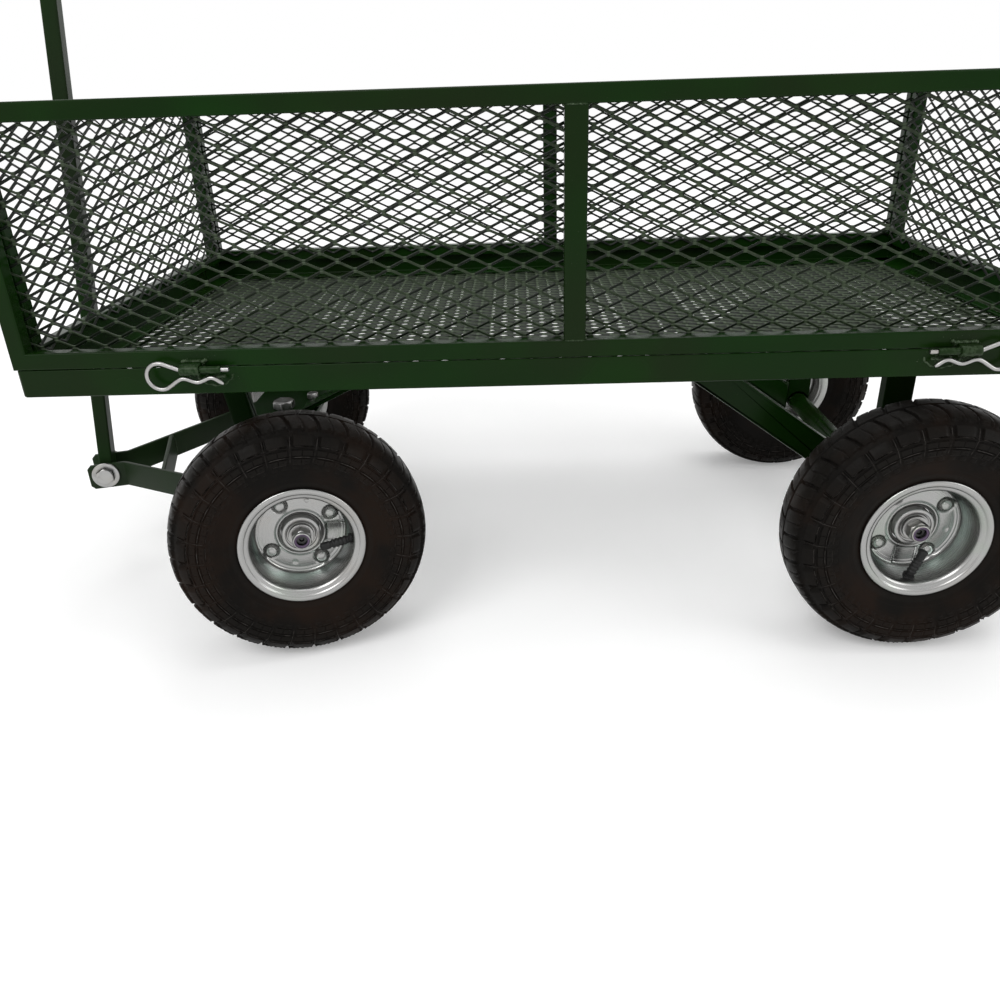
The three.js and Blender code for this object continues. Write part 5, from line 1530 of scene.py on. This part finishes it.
class CART_OT_handle(bpy.types.Operator):
    """Make the handle's stem, loop and grip"""

    bl_idname = "cart.handle"
    bl_label = "Handle"

    def execute(self, context):
        g, t = Millimetres(context.scene.cart_gear), Millimetres(context.scene.cart_tray)
        place, top = handle_place(g, t), g.stem_length
        shape = Shape().add(stem_tube(g)).add(loop_tube(g))
        shape.seam(weld((0, -12, top - 0.4), (0, 12, top - 0.4), 2.4, X_AXIS, 90))
        make_piece("handle_tube", shape.move(place), "handle", ("stem",), "handle_stem")
        grip = Shape().add(grip_surface(g)).move(place @ shifted(z=top + g.loop_height))
        make_piece("handle_sleeve", grip, "handle", ("grip",), "handle_grip")
        return {"FINISHED"}


class CART_OT_axles(bpy.types.Operator):
    """Make the two axles: the painted tubes and their plated shafts"""

    bl_idname = "cart.axles"
    bl_label = "Axles"

    def execute(self, context):
        g, w = Millimetres(context.scene.cart_gear), Millimetres(context.scene.cart_wheel)
        rear = shifted(tray_middle() + g.wheelbase_half, 0, g.axle_height)
        front = steering_place() @ shifted(z=g.axle_height)
        for name, body, place in (("front", "steering", front), ("rear", "chassis", rear)):
            painted, plated = axle_shape(g, w)
            make_piece("axle_tube_" + name, painted.move(place), body, ("enamel",), name + "_axle")
            make_piece("axle_shaft_" + name, plated.move(place), body, ("zinc", "steel"), name + "_axle")
        return {"FINISHED"}


class CART_OT_wheels(bpy.types.Operator):
    """Make the four wheels: tyres, rims, hubs, valves and axle nuts"""

    bl_idname = "cart.wheels"
    bl_label = "Wheels"

    def execute(self, context):
        w = Millimetres(context.scene.cart_wheel)
        for index, (name, (valve_at, bend)) in enumerate(VALVES.items()):
            place, body = wheel_place(name), "wheel_" + name
            carrier = "steering" if name.startswith("front") else "chassis"
            tyre = tyre_surface(w, 100 + index).move(turned_by("Y", 7.0 * index))
            pieces = (
                ("tyre_tread_", tyre, body, ("tyre",), "tyre_", 42),
                ("rim_disc_", rim_surface(w, valve_at), body, ("rim",), "rim_", 50),
                ("hub_tube_", hub_surface(w), body, ("zinc",), "hub_", 38),
                ("valve_stem_", valve_surface(valve_at, bend), body, ("valve",), "valve_", 38),
                ("lock_nut_", nut_shape(w), carrier, ("zinc", "collar"), "axle_nut_", 38),
            )
            for piece, shape, rides_on, finishes, node, crease in pieces:
                make_piece(piece + name, shape.move(place), rides_on, finishes, node + name, crease=crease)
        return {"FINISHED"}


class CART_OT_stage(bpy.types.Operator):
    """Make the floor, the lights, the world and the camera"""

    bl_idname = "cart.stage"
    bl_label = "Stage"

    def execute(self, context):
        scene = context.scene
        self.floor(scene)
        self.world(scene)
        self.lamp(scene, "lamp_key", (-1.5, -2.4, 3.0), (0.1, 0, 0.3), (2.2, 1.8), 60)
        self.lamp(scene, "lamp_top", (0.3, 0.4, 3.4), (0, 0, 0.3), (3.0, 2.4), 55)
        self.lamp(scene, "lamp_side", (3.0, -1.6, 1.6), (0, 0, 0.3), (1.4, 1.6), 22)
        self.camera(scene)
        return {"FINISHED"}

    @staticmethod
    def floor(scene):
        """A flat disc of floor, shaded by diffuse light, with part of its white given to camera, glossy and
        transmission rays, more of it further out."""
        radius, depth = 9000, 20
        points, faces = turned([(0, 0), (radius, 0), (radius, -depth), (0, -depth)], 64, closed=False)
        mesh = bpy.data.meshes.new("floor")
        mesh.from_pydata((points.reshape(-1, 3) / 1000).tolist(), [], faces[0].tolist())
        mesh.validate()
        floor = bpy.data.objects.new("floor", mesh)
        scene.collection.objects.link(floor)
        finish = Finish("floor_white")
        finish.set(Base_Color=tuple(scene.cart_colours.floor), Roughness=0.9, Specular_IOR_Level=0.1)
        far = finish.node("ShaderNodeVectorMath", {"operation": "LENGTH"}, {0: finish.place}, "Value")
        strength = finish.seen_directly() * finish.ramp(far, 1.0, 5.0, 0.22, 0.54)
        glow = finish.node("ShaderNodeEmission", values={"Color": WHITE, "Strength": strength})
        both = finish.node("ShaderNodeAddShader", values={0: finish.surface, 1: glow})
        finish.feed(finish.output.inputs["Surface"], both)
        mesh.materials.append(finish.material)

    @staticmethod
    def world(scene):
        """A grey world for light, which camera, glossy and transmission rays see as white."""
        world = bpy.data.worlds.new("white_room")
        world.use_nodes = True
        nodes = Nodes(world.node_tree)
        output = nodes.tree.nodes.new("ShaderNodeOutputWorld")
        strength = nodes.seen_directly() * 0.45 + 0.55
        background = nodes.node("ShaderNodeBackground", values={"Color": WHITE, "Strength": strength})
        nodes.feed(output.inputs["Surface"], background)
        scene.world = world

    @staticmethod
    def lamp(scene, name, place, aim, wide_and_tall, watts):
        """A soft rectangular lamp turned to face its aim."""
        light = bpy.data.lights.new(name, "AREA")
        light.shape = "RECTANGLE"
        light.size, light.size_y = wide_and_tall
        light.energy = watts
        lamp = bpy.data.objects.new(name, light)
        scene.collection.objects.link(lamp)
        lamp.location = place
        lamp.rotation_euler = (Vector(aim) - Vector(place)).to_track_quat("-Z", "Y").to_euler()

    @staticmethod
    def camera(scene):
        """The camera, near the cart's left side and above it, looking down and a little to the front. Its
        angles are in radians, and its place in metres."""
        place, pitch, yaw, roll = Vector((-0.015616, -0.99590, 0.53379)), 0.4502, -0.0300, -0.0334
        ahead = Vector((math.sin(yaw) * math.cos(pitch), math.cos(yaw) * math.cos(pitch), -math.sin(pitch)))
        right = Vector((math.cos(yaw), -math.sin(yaw), 0))
        up = right.cross(ahead)
        turned_right = right * math.cos(roll) + up * math.sin(roll)
        turned_up = up * math.cos(roll) - right * math.sin(roll)
        camera = bpy.data.objects.new("camera", bpy.data.cameras.new("camera"))
        scene.collection.objects.link(camera)
        camera.data.sensor_width = 36.0
        camera.data.lens = 30.05
        axes = Matrix((turned_right, turned_up, -ahead)).transposed().to_4x4()
        camera.matrix_world = Matrix.Translation(place) @ axes
        scene.camera = camera


# ---------------------------------------------------------------- panel and registration

OPERATORS = (
    CART_OT_base,
    CART_OT_deck,
    CART_OT_panels,
    CART_OT_clips,
    CART_OT_bars,
    CART_OT_bolts,
    CART_OT_axles,
    CART_OT_steering,
    CART_OT_handle,
    CART_OT_wheels,
    CART_OT_stage,
)
GROUPS = {
    "cart_tray": CartTray,
    "cart_mesh": CartMesh,
    "cart_wheel": CartWheel,
    "cart_gear": CartGear,
    "cart_colours": CartColours,
}


class CART_PT_panel(bpy.types.Panel):
    """Lists the cart's sizes, colours and pieces"""

    bl_idname = "CART_PT_panel"
    bl_label = "Garden Cart"
    bl_space_type = "VIEW_3D"
    bl_region_type = "UI"
    bl_category = "Cart"

    def draw(self, context):
        for operator in OPERATORS:
            self.layout.operator(operator.bl_idname)
        for key in GROUPS:
            group = getattr(context.scene, key)
            box = self.layout.box()
            for name in group.bl_rna.properties.keys():
                if name not in ("rna_type", "name"):
                    box.prop(group, name)


def register():
    """Registers the property groups, their places on the scene, the operators and the panel."""
    for group in GROUPS.values():
        bpy.utils.register_class(group)
    for key, group in GROUPS.items():
        setattr(bpy.types.Scene, key, bpy.props.PointerProperty(type=group))
    for cls in (*OPERATORS, CART_PT_panel):
        bpy.utils.register_class(cls)


def unregister():
    """Takes back what register did, in the opposite order."""
    for cls in (CART_PT_panel, *reversed(OPERATORS)):
        bpy.utils.unregister_class(cls)
    for key in GROUPS:
        delattr(bpy.types.Scene, key)
    for group in reversed(list(GROUPS.values())):
        bpy.utils.unregister_class(group)


def main():
    """Makes every piece and the stage."""
    register()
    scene = bpy.context.scene
    scene.view_settings.view_transform = "Standard"
    for operator in OPERATORS:
        category, name = operator.bl_idname.split(".")
        getattr(getattr(bpy.ops, category), name)()


if __name__ == "__main__":
    main()
